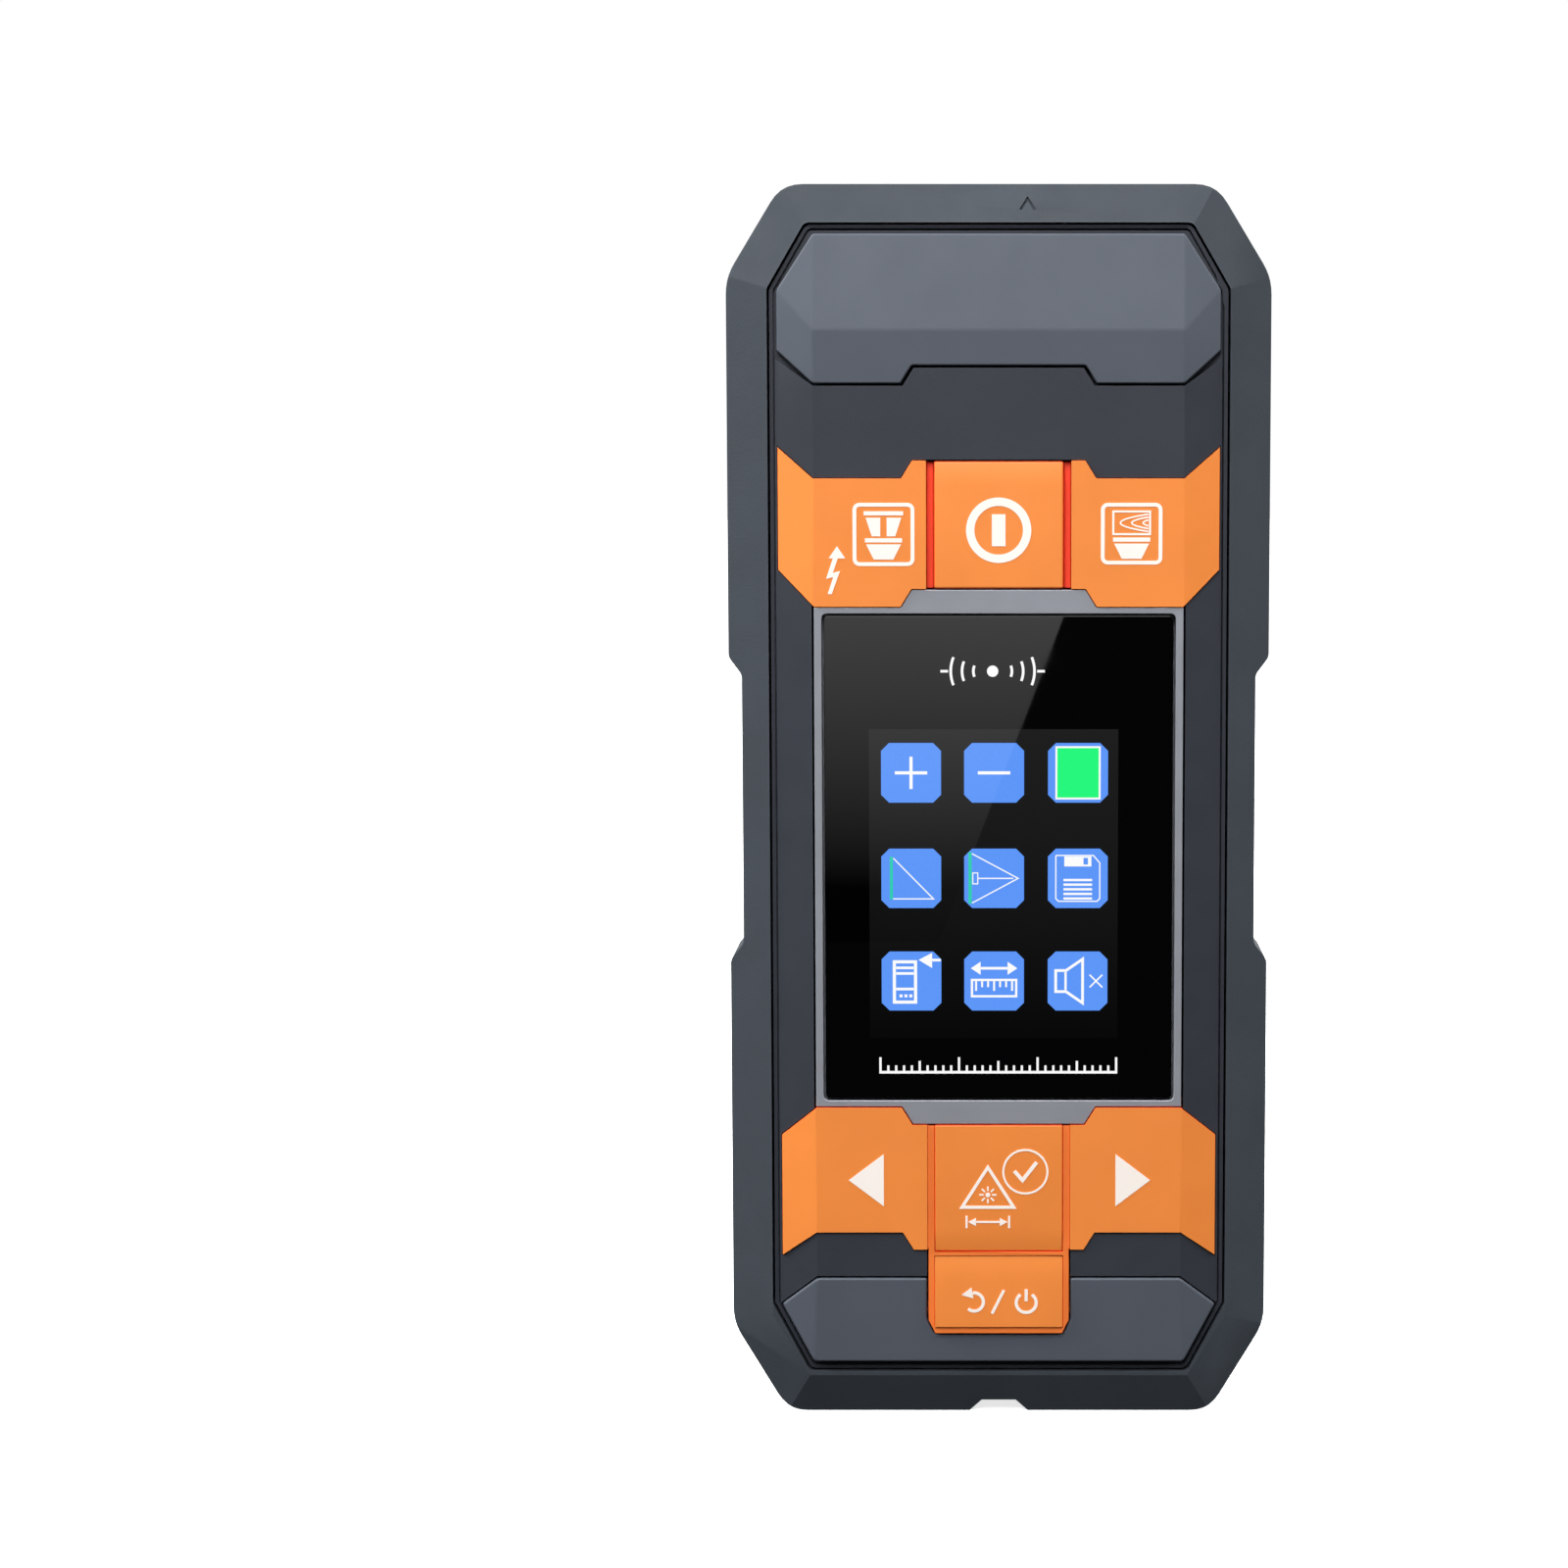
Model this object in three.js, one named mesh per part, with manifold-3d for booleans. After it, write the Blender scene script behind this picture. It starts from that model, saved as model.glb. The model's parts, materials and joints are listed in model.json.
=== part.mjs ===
// Hand-held laser distance meter with a built-in wall detector.
// Millimetres, +Z up. The instrument stands on its lower end face, its keys and screen face -Y,
// and the laser beam leaves the upper end along +Z. The origin is the middle of the lower end.
import * as THREE from 'three';
import { mergeVertices } from 'three/addons/utils/BufferGeometryUtils.js';
import { ConvexGeometry } from 'three/addons/geometries/ConvexGeometry.js';
import Module from 'manifold-3d';

const wasm = await Module();
wasm.setup();

// Overall size.
const HEIGHT = 165;
const HALF_WIDTH = 36;
const WAIST_HALF = 34.2;
const DEPTH = 31;
const FRONT_Y = -DEPTH / 2;
const BACK_Y = DEPTH / 2;
const GAP = 0.3;
const PAST = 1; // how far a cutting tool reaches past the face that it cuts
const LAP = 0.5; // how far two joined solids run into each other
const SLIVER = 0.01; // how far a cutting tool reaches past a face that it must only just open
const ROUND_STEPS = 5;

// Layers from front to back.
const KEY_FRONT = FRONT_Y + 0.1;
const PANEL_FRONT = FRONT_Y + 0.4;
const SURROUND_FRONT = FRONT_Y + 0.3;
const LEDGE_FRONT = -12.7;
const PANEL_BACK = -10.7;
const KEY_BACK = -11.7;
const BEZEL_FRONT = -13.4;
const BEZEL_DROP = 2.4;
const BEZEL_WIDTH = 5.5;
const MAT_FRONT = -10.4;
const MAT_BACK = -9.4;
const MAT_HALF = 26.5;
const STEM_TIP = -8.5;
const BOARD_FRONT = -6.5;
const BOARD_BACK = -4.9;
const SPLIT_Y = 3;
const SHELL_BACK = BACK_Y - 0.4;

// Body outline, seen from the front: two lobes, a waist, and a notch in the lower end.
const BODY_CORNER_X = 28.6;
const BODY_SHOULDER = 12.2;
const UPPER_LOBE = 102.7;
const LOWER_LOBE = 62;
const LOBE_RAMP = 2.3;
const NOTCH_HALF = 3.95;
const NOTCH_TOP_HALF = 2.3;
const NOTCH_HEIGHT = 1.65;
const CORNER_ROUND = 5;
const SHOULDER_ROUND = 8;
const LOBE_ROUND = 1.5;

// Front window of the outer frame, and what stands inside it.
const WINDOW_HALF = 30.5;
const WINDOW_TOP = 159.9;
const WINDOW_BOTTOM = 6.05;
const WINDOW_CORNER_X = 25.5;
const WINDOW_SHOULDER_TOP = 151.3;
const WINDOW_SHOULDER_BOTTOM = 15.4;
const WINDOW_ROUND = 1.2;
const LEDGE_WIDTH = 0.75;
const RIDGE_X = 24.4;
const FACET_DROP = 1.8;
const FIELD_EDGE_X = 29.5;
const HOUSING_WALL = 1.5;

// Facetted caps on the panel. Each height has the depth of the cap's face there.
const CAP_HALF = 29.2;
const CAP_BACK = LEDGE_FRONT - GAP;
const UPPER_CAP = {
  top: { z: 158.4, y: -14.2 },
  apex: { z: 151.1, y: -13.6 },
  ridge: { z: 145.9, y: FRONT_Y },
  side: { z: 143.2, y: -13.5 },
  bottom: { z: 138.9, y: -15 },
};
const LOWER_CAP = {
  top: { z: 19.3, y: -15.2 },
  apex: { z: 15.4, y: -13.6 },
  bottom: { x: 24.9, z: 7.6, y: -14.3 },
};

// Screen.
const SURROUND_HALF = 24.4;
const SURROUND_BOTTOM = 42.7;
const SURROUND_TOP = 109.5;
const GLASS_HALF = 23.1;
const GLASS_BOTTOM = 43.85;
const GLASS_TOP = 108.4;
const GLASS_CORNER = 0.5;
const GLASS_FRONT = -15.1;
const GLASS_BACK = -13.7;
const DISPLAY_HALF = 21.3;
const DISPLAY_BOTTOM = 46.3;
const DISPLAY_TOP = 106.3;
const DISPLAY_FRONT = GLASS_BACK + GAP;
const DISPLAY_BACK = -11.1;
const TRAY_HALF = 23.5;
const TRAY_BOTTOM = 44.5;
const TRAY_TOP = 108;
const TRAY_FRONT = -10.8;
const TRAY_WALL = 1.5;

// Keys: the tab is the middle part of a keypad that reaches into its neighbour.
const TAB_HALF = 11.45;
const TAB_FOOT = 12.9;
const TAB_RISE = 2.35;
const CENTRE_KEY_HALF = 8.4;
const SIDE_KEY_EDGE = 9.75;
const KEY_TRAVEL = 0.7;
const STEM_RADIUS = 2;
const STEM_PLAY = 0.5;
const DOME_RADIUS = 3.2;
const DOME_PLAY = 0.2;
const UPPER_KEYS_TOP = 126.6;
const UPPER_KEYS_SPIKE = [29.25, 130.8];
const UPPER_KEYS_SIDE = 114.4;
const LOWER_KEYS_BOTTOM = 25.5;
const LOWER_KEYS_SPIKE = [29.2, 22];
const LOWER_KEYS_SIDE = 38.7;
const OFF_KEY_HALF = 9.65;
const OFF_KEY_TOP = LOWER_KEYS_BOTTOM - TAB_RISE;
const OFF_KEY_BOTTOM = 11.5;
const OFF_KEY_CORNER = 1;
const OFF_KEY_SKIRT = 1.3;
const GROOVE_WIDTH = 1;
const UPPER_MAT = { bottom: 109, top: 131, grooveDepth: 1.2 };
const LOWER_MAT = { bottom: 13, top: 43, grooveDepth: 0.6 };

// Electronics.
const MAIN_BOARD = { half: 27.5, bottom: 17, top: 128.5, corner: 2 };
const BUZZER = { x: -14, z: 112, radius: 6, height: 3.5 };
const PROCESSOR = { x: 11, z: 111, half: 5, height: 1.2 };

// Optics at the upper end.
const LASER_X = 3.8;
const RECEIVER_X = -8.2;
const OPTIC_AXIS_Y = -3.5;
const BARREL_RADIUS = 3.2;
const LENS_RADIUS = 5.2;
const LENS_PLAY = 0.1;
const OPTICS_WALL = 1.8;
const OPTICS_COVER = 0.6;
const OPTICS_BOTTOM = 131;
const OPTICS_TOP = 157.6;
const LASER_BOTTOM = 132;
const LASER_TOP = 152.5;
const COLLIMATOR = { bottom: 153, edge: 1, crown: 0.8 };
const RECEIVER_FLOOR = 134;
const RECEIVER_LENS = { bottom: 151, edge: 2, crown: 1.6 };
const SENSOR_HOLE_RADIUS = 2;
const RECEIVER_BOARD = { from: [-14, -9, 129], to: [8.5, 2, 130.4] };
const END_WINDOW_BOTTOM = 161.2;
const END_WINDOW_TOP = 162.6;

// Detector behind the lower back wall.
const DETECTOR_Z = 26;
const COIL_RADIUS = 15;
const COIL_INNER_RADIUS = 12;
const COIL_FRONT = 11.4;
const COIL_BACK = 12.8;
const DETECTOR_BOARD = { half: 20, bottom: 8.5, top: 44, corner: 1.5, front: 9.5, back: 11.1 };

// Rear shell.
const SHELL_MARGIN = 0.6;
const SHELL_CHAMFER = 4.5;
const SHELL_CHAMFER_START = 9.5;
const SHELL_WALL = 2;
const SHELL_RIM = 1;
const LIP_WIDTH = 1;
const LIP_FRONT = SPLIT_Y - 0.4;

// Batteries (three AAA cells) and their bay.
const CELL_RADIUS = 5.25;
const CELL_LENGTH = 43.3;
const CELL_ROUND = 0.5;
const NUB_RADIUS = 1.9;
const NUB_LENGTH = 1;
const CELL_PITCH = 11.2;
const CELL_Y = 8;
const BAY_BOTTOM = 49.8;
const BAY_TOP = 99.2;
const BAY_HALF = 17.5;
const BAY_FLOOR = 2.4;
const BAY_FRONT = 1;
const BAY_SIDE_WALL = 3.5;
const BAY_END_WALL = 3.8;
const CONTACT_HALF = 16.6;
const CONTACT_FRONT = 3.5;
const CONTACT_BACK = 10.6;
const CONTACT_THICKNESS = 0.4;
const SPRING_LENGTH = 2.8;
const SPRING_FOOT_RADIUS = 3.6;
const SPRING_FOOT_HEIGHT = 0.6;
const SPRING_TIP_RADIUS = 2.2;

// Battery door.
const DOOR_HALF = 19.3;
const DOOR_BOTTOM = 47.3;
const DOOR_TOP = 101.3;
const DOOR_FRONT = 13.6;
const DOOR_CORNER = 0.9;
const HOOK_X = 12;
const HOOK_WIDTH = 6;
const HOOK_FRONT = 11.9;
const HOOK_THICKNESS = 1;
const HOOK_REACH = 1.7;
const HOOK_ROOT = 1.5;
const HOOK_PLAY = 0.5;
const LATCH_HALF = 5;
const LATCH_LENGTH = 4.6;
const LATCH_TONGUE = 1.3;
const LATCH_ROOM = 1.6;
const LATCH_FLOOR = 0.4;
const LATCH_FLOOR_TOP = 98.5;

// Fasteners and glide pads.
const SCREW_X = 25.6;
const SCREW_ROWS = [27, 138];
const SHANK_RADIUS = 1.25;
const SHANK_TIP = -6;
const HEAD_RADIUS = 2.6;
const HEAD_FRONT = 8.3;
const HEAD_HEIGHT = 1.9;
const SLOT_REACH = 2;
const SLOT_HALF = 0.35;
const SLOT_DEPTH = 0.8;
const FRONT_BOSS_RADIUS = 3.6;
const FRONT_BOSS_TIP = -8.5;
const FRONT_BOSS_END = SPLIT_Y + 0.6;
const REAR_BOSS_RADIUS = 4.2;
const PAD_X = 17;
const PAD_ROWS = [16, 149];
const PAD_HALF = 7;
const PAD_HEIGHT = 4.5;
const PAD_CORNER = 1.2;
const PAD_SEAT = SHELL_BACK - 0.6;

const FINISHES = {
  bumper: [0x4f545c, 0.62, 0],
  panel: [0x3c4049, 0.55, 0],
  cap: [0x6b717d, 0.5, 0],
  key: [0xee8d48, 0.5, 0],
  keymat: [0xd8431d, 0.6, 0],
  silver: [0x97989f, 0.35, 0.9],
  glass: [0x050506, 0.06, 0],
  display: [0x16181c, 0.3, 0],
  white_plastic: [0xd9dbd8, 0.5, 0],
  black_plastic: [0x1b1c1f, 0.55, 0],
  circuit_board: [0x1f5c3a, 0.45, 0],
  brass: [0xb5904a, 0.3, 1],
  lens: [0xbfd0dc, 0.05, 0],
  window: [0x5b1210, 0.08, 0],
  copper: [0xb87348, 0.3, 1],
  steel: [0xaeb1b5, 0.3, 1],
  battery: [0x2b2e35, 0.35, 0.2],
  shell: [0x33363c, 0.55, 0],
  felt: [0x24262a, 0.9, 0],
};

// ---------------------------------------------------------------- solids

/** Turns a closed three.js geometry into a solid that can be joined and cut. */
function solid(geometry) {
  const bare = geometry.clone();
  bare.deleteAttribute('normal');
  bare.deleteAttribute('uv');
  const merged = mergeVertices(bare, 1e-4);
  return new wasm.Manifold(new wasm.Mesh({
    numProp: 3,
    vertProperties: new Float32Array(merged.attributes.position.array),
    triVerts: new Uint32Array(merged.index.array),
  }));
}

/** Turns a solid back into a three.js geometry. */
function geometryOf(body) {
  const { numProp, vertProperties, triVerts } = body.getMesh();
  const corners = [];
  for (let at = 0; at < vertProperties.length; at += numProp) {
    corners.push(vertProperties[at], vertProperties[at + 1], vertProperties[at + 2]);
  }
  const geometry = new THREE.BufferGeometry();
  geometry.setAttribute('position', new THREE.Float32BufferAttribute(corners, 3));
  geometry.setIndex(Array.from(triVerts));
  geometry.computeVertexNormals();
  return geometry;
}

/** Closed outline from corners [x, z, corner radius]; the radius may be left out. */
function outline(corners) {
  const shape = new THREE.Shape();
  corners.forEach(([x, z, radius = 0], index) => {
    const here = new THREE.Vector2(x, z);
    const before = new THREE.Vector2(...corners.at(index - 1)).sub(here).normalize();
    const after = new THREE.Vector2(...corners[(index + 1) % corners.length]).sub(here).normalize();
    const reach = radius / Math.tan(before.angleTo(after) / 2);
    const start = here.clone().addScaledVector(before, reach);
    const end = here.clone().addScaledVector(after, reach);
    if (index === 0) {
      shape.moveTo(start.x, start.y);
    } else {
      shape.lineTo(start.x, start.y);
    }
    if (radius > 0) {
      shape.quadraticCurveTo(x, z, end.x, end.y);
    }
  });
  shape.closePath();
  return shape;
}

/** Both halves of a symmetric outline, from its right half listed from bottom to top. */
function mirrored(rightHalf) {
  const leftHalf = rightHalf.map(([x, ...rest]) => [-x, ...rest]).reverse();
  return [...rightHalf, ...leftHalf];
}

/** The same corners moved inwards by a distance, for an outline listed anticlockwise. */
function inset(corners, distance) {
  return corners.map(([x, z, radius = 0], index) => {
    const before = corners.at(index - 1);
    const after = corners[(index + 1) % corners.length];
    const inwards = [[before, [x, z]], [[x, z], after]].map(([from, to]) => {
      const length = Math.hypot(to[0] - from[0], to[1] - from[1]);
      return [(from[1] - to[1]) / length, (to[0] - from[0]) / length];
    });
    const [[ax, az], [bx, bz]] = inwards;
    const spread = 1 + ax * bx + az * bz;
    return [x + (distance * (ax + bx)) / spread, z + (distance * (az + bz)) / spread, radius];
  });
}

/** Solid with an outline in X and Z, between two values of Y. */
function slab(corners, frontY, backY) {
  const options = { depth: backY - frontY, bevelEnabled: false, curveSegments: ROUND_STEPS };
  const geometry = new THREE.ExtrudeGeometry(outline(corners), options);
  geometry.rotateX(Math.PI / 2);
  geometry.translate(0, backY, 0);
  return solid(geometry);
}

/** Solid with a section in X and Y, between two values of Z. */
function column(corners, bottomZ, topZ) {
  const options = { depth: topZ - bottomZ, bevelEnabled: false, curveSegments: ROUND_STEPS };
  const geometry = new THREE.ExtrudeGeometry(outline(corners), options);
  geometry.translate(0, 0, bottomZ);
  return solid(geometry);
}

/** Block between two corners. */
function block([x0, y0, z0], [x1, y1, z1]) {
  const geometry = new THREE.BoxGeometry(x1 - x0, y1 - y0, z1 - z0);
  geometry.translate((x0 + x1) / 2, (y0 + y1) / 2, (z0 + z1) / 2);
  return solid(geometry);
}

/** Round rod along Y, from frontY to backY. */
function rod(x, z, radius, frontY, backY, sides = 16) {
  const geometry = new THREE.CylinderGeometry(radius, radius, backY - frontY, sides);
  geometry.translate(x, (frontY + backY) / 2, z);
  return solid(geometry);
}

/** Round rod along Z, from bottomZ to topZ. */
function post(x, y, radius, bottomZ, topZ, sides = 20) {
  const geometry = new THREE.CylinderGeometry(radius, radius, topZ - bottomZ, sides);
  geometry.rotateX(Math.PI / 2);
  geometry.translate(x, y, (bottomZ + topZ) / 2);
  return solid(geometry);
}

/** Turned piece on an axis along Z, from its profile [radius, height]. */
function turned(profile, sides = 20) {
  const geometry = new THREE.LatheGeometry(profile.map(([r, h]) => new THREE.Vector2(r, h)), sides);
  geometry.rotateX(Math.PI / 2);
  return solid(geometry);
}

/** Solid body whose faces are the hull of the given corners [x, y, z]. */
function hull(corners) {
  return solid(new ConvexGeometry(corners.map((corner) => new THREE.Vector3(...corner))));
}

function joined(bodies) {
  return bodies.reduce((whole, body) => whole.add(body));
}

function cut(body, tools) {
  return tools.reduce((left, tool) => left.subtract(tool), body);
}

// ---------------------------------------------------------------- assembly

const instrument = new THREE.Group();

/** Adds one named piece to a group. */
function place(name, body, finish, group = instrument) {
  const [color, roughness, metalness] = FINISHES[finish];
  const material = new THREE.MeshStandardMaterial({ color, roughness, metalness });
  const mesh = new THREE.Mesh(geometryOf(body), material);
  mesh.name = name;
  group.add(mesh);
  return mesh;
}

// ---------------------------------------------------------------- outlines

/** Body outline with its rounded corners, the waist between two lobes and the notch below. */
function bodyOutline(half, waist, top) {
  return mirrored([
    [NOTCH_TOP_HALF, NOTCH_HEIGHT],
    [NOTCH_HALF, 0],
    [BODY_CORNER_X, 0, CORNER_ROUND],
    [half, BODY_SHOULDER, SHOULDER_ROUND],
    [half, LOWER_LOBE, LOBE_ROUND],
    [waist, LOWER_LOBE + LOBE_RAMP, LOBE_ROUND],
    [waist, UPPER_LOBE - LOBE_RAMP, LOBE_ROUND],
    [half, UPPER_LOBE, LOBE_ROUND],
    [half, top - BODY_SHOULDER, SHOULDER_ROUND],
    [BODY_CORNER_X, top, CORNER_ROUND],
  ]);
}

/** The eight sharp corners that the body outline lies in. */
function octagon(half, top) {
  return mirrored([
    [BODY_CORNER_X, 0],
    [half, BODY_SHOULDER],
    [half, top - BODY_SHOULDER],
    [BODY_CORNER_X, top],
  ]);
}

const windowOutline = mirrored([
  [WINDOW_CORNER_X, WINDOW_BOTTOM, WINDOW_ROUND],
  [WINDOW_HALF, WINDOW_SHOULDER_BOTTOM, WINDOW_ROUND],
  [WINDOW_HALF, WINDOW_SHOULDER_TOP, WINDOW_ROUND],
  [WINDOW_CORNER_X, WINDOW_TOP, WINDOW_ROUND],
]);

const upperKeysOutline = mirrored([
  [TAB_HALF, SURROUND_TOP + TAB_RISE],
  [TAB_FOOT, SURROUND_TOP],
  [RIDGE_X, SURROUND_TOP],
  [UPPER_KEYS_SPIKE[0], UPPER_KEYS_SIDE],
  UPPER_KEYS_SPIKE,
  [RIDGE_X, UPPER_KEYS_TOP],
  [TAB_FOOT, UPPER_KEYS_TOP],
  [TAB_HALF, UPPER_KEYS_TOP + TAB_RISE],
]);

const lowerKeysOutline = mirrored([
  [OFF_KEY_HALF - OFF_KEY_CORNER, OFF_KEY_BOTTOM],
  [OFF_KEY_HALF, OFF_KEY_BOTTOM + 2 * OFF_KEY_CORNER],
  [OFF_KEY_HALF, OFF_KEY_TOP],
  [TAB_HALF, OFF_KEY_TOP],
  [TAB_FOOT, LOWER_KEYS_BOTTOM],
  [RIDGE_X, LOWER_KEYS_BOTTOM],
  LOWER_KEYS_SPIKE,
  [LOWER_KEYS_SPIKE[0], LOWER_KEYS_SIDE],
  [RIDGE_X, SURROUND_BOTTOM],
  [TAB_FOOT, SURROUND_BOTTOM],
  [TAB_HALF, SURROUND_BOTTOM - TAB_RISE],
]);

const surroundOutline = mirrored([
  [TAB_HALF, SURROUND_BOTTOM - TAB_RISE],
  [TAB_FOOT, SURROUND_BOTTOM],
  [SURROUND_HALF, SURROUND_BOTTOM],
  [SURROUND_HALF, SURROUND_TOP],
  [TAB_FOOT, SURROUND_TOP],
  [TAB_HALF, SURROUND_TOP + TAB_RISE],
]);

/** Rectangle centred on X, listed anticlockwise. */
function rectangle(half, bottom, top, radius = 0) {
  return [[half, bottom, radius], [half, top, radius], [-half, top, radius], [-half, bottom, radius]];
}

/** Long bar with the facetted section of the front: flat in the middle, falling to both sides. */
function facettedBar(frontY, backY) {
  const section = [
    [-FIELD_EDGE_X, backY],
    [-FIELD_EDGE_X, frontY + FACET_DROP],
    [-RIDGE_X, frontY],
    [RIDGE_X, frontY],
    [FIELD_EDGE_X, frontY + FACET_DROP],
    [FIELD_EDGE_X, backY],
  ];
  return column(section, 0, HEIGHT);
}

// ---------------------------------------------------------------- outer frame

const opticsDepth = LENS_RADIUS + OPTICS_COVER;
const apertureFrom = [RECEIVER_X - LENS_RADIUS - OPTICS_WALL, OPTIC_AXIS_Y - opticsDepth];
const apertureTo = [LASER_X + BARREL_RADIUS + OPTICS_WALL, OPTIC_AXIS_Y + opticsDepth];

/** Opening in the upper end for the beam and the returning light. */
function endAperture(margin, bottomZ, topZ) {
  return block(
    [apertureFrom[0] - margin, apertureFrom[1] - margin, bottomZ],
    [apertureTo[0] + margin, apertureTo[1] + margin, topZ],
  );
}

/** Rubber frame all round, with its bezel sloping outwards. */
function outerFrame() {
  const rim = slab(bodyOutline(HALF_WIDTH, WAIST_HALF, HEIGHT), BEZEL_FRONT, SPLIT_Y);
  const corners = octagon(HALF_WIDTH, HEIGHT);
  const nearFace = inset(corners, BEZEL_WIDTH).map(([x, z]) => [x, BEZEL_FRONT, z]);
  const slopeFoot = corners.map(([x, z]) => [x, BEZEL_FRONT + BEZEL_DROP, z]);
  const farFace = corners.map(([x, z]) => [x, SPLIT_Y + PAST, z]);
  const sloped = rim.intersect(hull([...nearFace, ...slopeFoot, ...farFace]));
  return cut(sloped, [
    slab(windowOutline, FRONT_Y - PAST, SPLIT_Y + PAST),
    endAperture(GAP, WINDOW_TOP - PAST, HEIGHT + PAST),
  ]);
}

place('outer_frame', outerFrame(), 'bumper');

// ---------------------------------------------------------------- caps on the panel

/** The same corner on the right and the left side. */
function bothSides(x, y, z) {
  return [[x, y, z], [-x, y, z]];
}

/** Facetted cap over the optics, with a notch for the panel's tab. */
function upperCap() {
  const { top, apex, ridge, side, bottom } = UPPER_CAP;
  const body = hull([
    ...bothSides(RIDGE_X, top.y, top.z),
    ...bothSides(CAP_HALF, apex.y, apex.z),
    ...bothSides(CAP_HALF, side.y, side.z),
    ...bothSides(RIDGE_X, bottom.y, bottom.z),
    ...bothSides(RIDGE_X, ridge.y, ridge.z),
    ...bothSides(RIDGE_X, CAP_BACK, top.z),
    ...bothSides(CAP_HALF, CAP_BACK, apex.z),
    ...bothSides(CAP_HALF, CAP_BACK, side.z),
    ...bothSides(RIDGE_X, CAP_BACK, bottom.z),
  ]);
  const notch = mirrored([
    [TAB_FOOT, bottom.z - PAST],
    [TAB_FOOT, bottom.z],
    [TAB_HALF, bottom.z + TAB_RISE],
  ]);
  return body.subtract(slab(notch, FRONT_Y - PAST, CAP_BACK + PAST));
}

/** Facetted cap at the lower end, cut out round the lowest key. */
function lowerCap() {
  const { top, apex, bottom } = LOWER_CAP;
  const body = hull([
    ...bothSides(RIDGE_X, top.y, top.z),
    ...bothSides(CAP_HALF, apex.y, apex.z),
    ...bothSides(bottom.x, bottom.y, bottom.z),
    ...bothSides(RIDGE_X, CAP_BACK, top.z),
    ...bothSides(CAP_HALF, CAP_BACK, apex.z),
    ...bothSides(bottom.x, CAP_BACK, bottom.z),
  ]);
  return body.subtract(slab(lowerKeysOutline, FRONT_Y - PAST, CAP_BACK + PAST));
}

place('upper_cap', upperCap(), 'cap');
place('lower_cap', lowerCap(), 'cap');

// ---------------------------------------------------------------- front housing

const POCKET_EDGE_X = FIELD_EDGE_X + PAST;

/** Pocket in the raised field of the panel that holds the upper cap. */
const upperPocket = mirrored([
  [TAB_HALF - GAP, UPPER_CAP.bottom.z + TAB_RISE - GAP],
  [TAB_FOOT - GAP, UPPER_CAP.bottom.z - GAP],
  [RIDGE_X, UPPER_CAP.bottom.z - GAP],
  [POCKET_EDGE_X, UPPER_CAP.side.z - GAP],
  [POCKET_EDGE_X, HEIGHT],
]);

/** Pocket in the raised field of the panel that holds the lower cap, along the cap's upper edge. */
const lowerCapSlope = (LOWER_CAP.top.z - LOWER_CAP.apex.z) / (CAP_HALF - RIDGE_X);
const lowerPocket = mirrored([
  [POCKET_EDGE_X, 0],
  [POCKET_EDGE_X, LOWER_CAP.top.z + GAP - lowerCapSlope * (POCKET_EDGE_X - RIDGE_X)],
  [RIDGE_X, LOWER_CAP.top.z + GAP],
]);

const screws = SCREW_ROWS.flatMap((z) => [[-SCREW_X, z], [SCREW_X, z]]);

/** A round rod on the axis of each screw. */
function onEachScrew(radius, frontY, backY, sides) {
  return screws.map(([x, z]) => rod(x, z, radius, frontY, backY, sides));
}

/** Front housing: the panel with its ledge, walls behind it and four screw bosses. */
function frontPanel() {
  const plate = slab(inset(windowOutline, GAP), LEDGE_FRONT, PANEL_BACK);
  const wall = slab(inset(windowOutline, GAP), PANEL_BACK - LAP, SPLIT_Y - GAP)
    .subtract(slab(inset(windowOutline, GAP + HOUSING_WALL), PANEL_BACK - PAST, SPLIT_Y));
  const field = slab(inset(windowOutline, GAP + LEDGE_WIDTH), PANEL_FRONT, LEDGE_FRONT + LAP)
    .intersect(facettedBar(PANEL_FRONT, PANEL_BACK));
  const pockets = [upperPocket, lowerPocket].map((pocket) => slab(pocket, FRONT_Y - PAST, LEDGE_FRONT));
  const bosses = onEachScrew(FRONT_BOSS_RADIUS, FRONT_BOSS_TIP, FRONT_BOSS_END, 16);
  const openings = [upperKeysOutline, lowerKeysOutline, inset(surroundOutline, -GAP)];
  return cut(joined([plate, wall, cut(field, pockets), ...bosses]), [
    ...openings.map((opening) => slab(opening, FRONT_Y - PAST, PANEL_BACK + SLIVER)),
    ...onEachScrew(SHANK_RADIUS + GAP, SHANK_TIP - PAST, SPLIT_Y + PAST, 12),
    endAperture(GAP, WINDOW_TOP - HOUSING_WALL - 2 * PAST, WINDOW_TOP + PAST),
  ]);
}

place('front_panel', frontPanel(), 'panel');

// ---------------------------------------------------------------- screen

/** Outline of the glass, grown by a margin. */
function glassOutline(margin) {
  return rectangle(GLASS_HALF + margin, GLASS_BOTTOM - margin, GLASS_TOP + margin, GLASS_CORNER + margin);
}

/** Outline of the display, grown by a margin. */
function displayOutline(margin) {
  return rectangle(DISPLAY_HALF + margin, DISPLAY_BOTTOM - margin, DISPLAY_TOP + margin);
}

/** Silver surround with a step that the glass lies on. */
function screenSurround() {
  return cut(slab(surroundOutline, SURROUND_FRONT, PANEL_BACK - GAP), [
    slab(glassOutline(GAP), FRONT_Y - PAST, GLASS_BACK + GAP),
    slab(displayOutline(GAP), GLASS_BACK, PANEL_BACK + PAST),
  ]);
}

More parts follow.
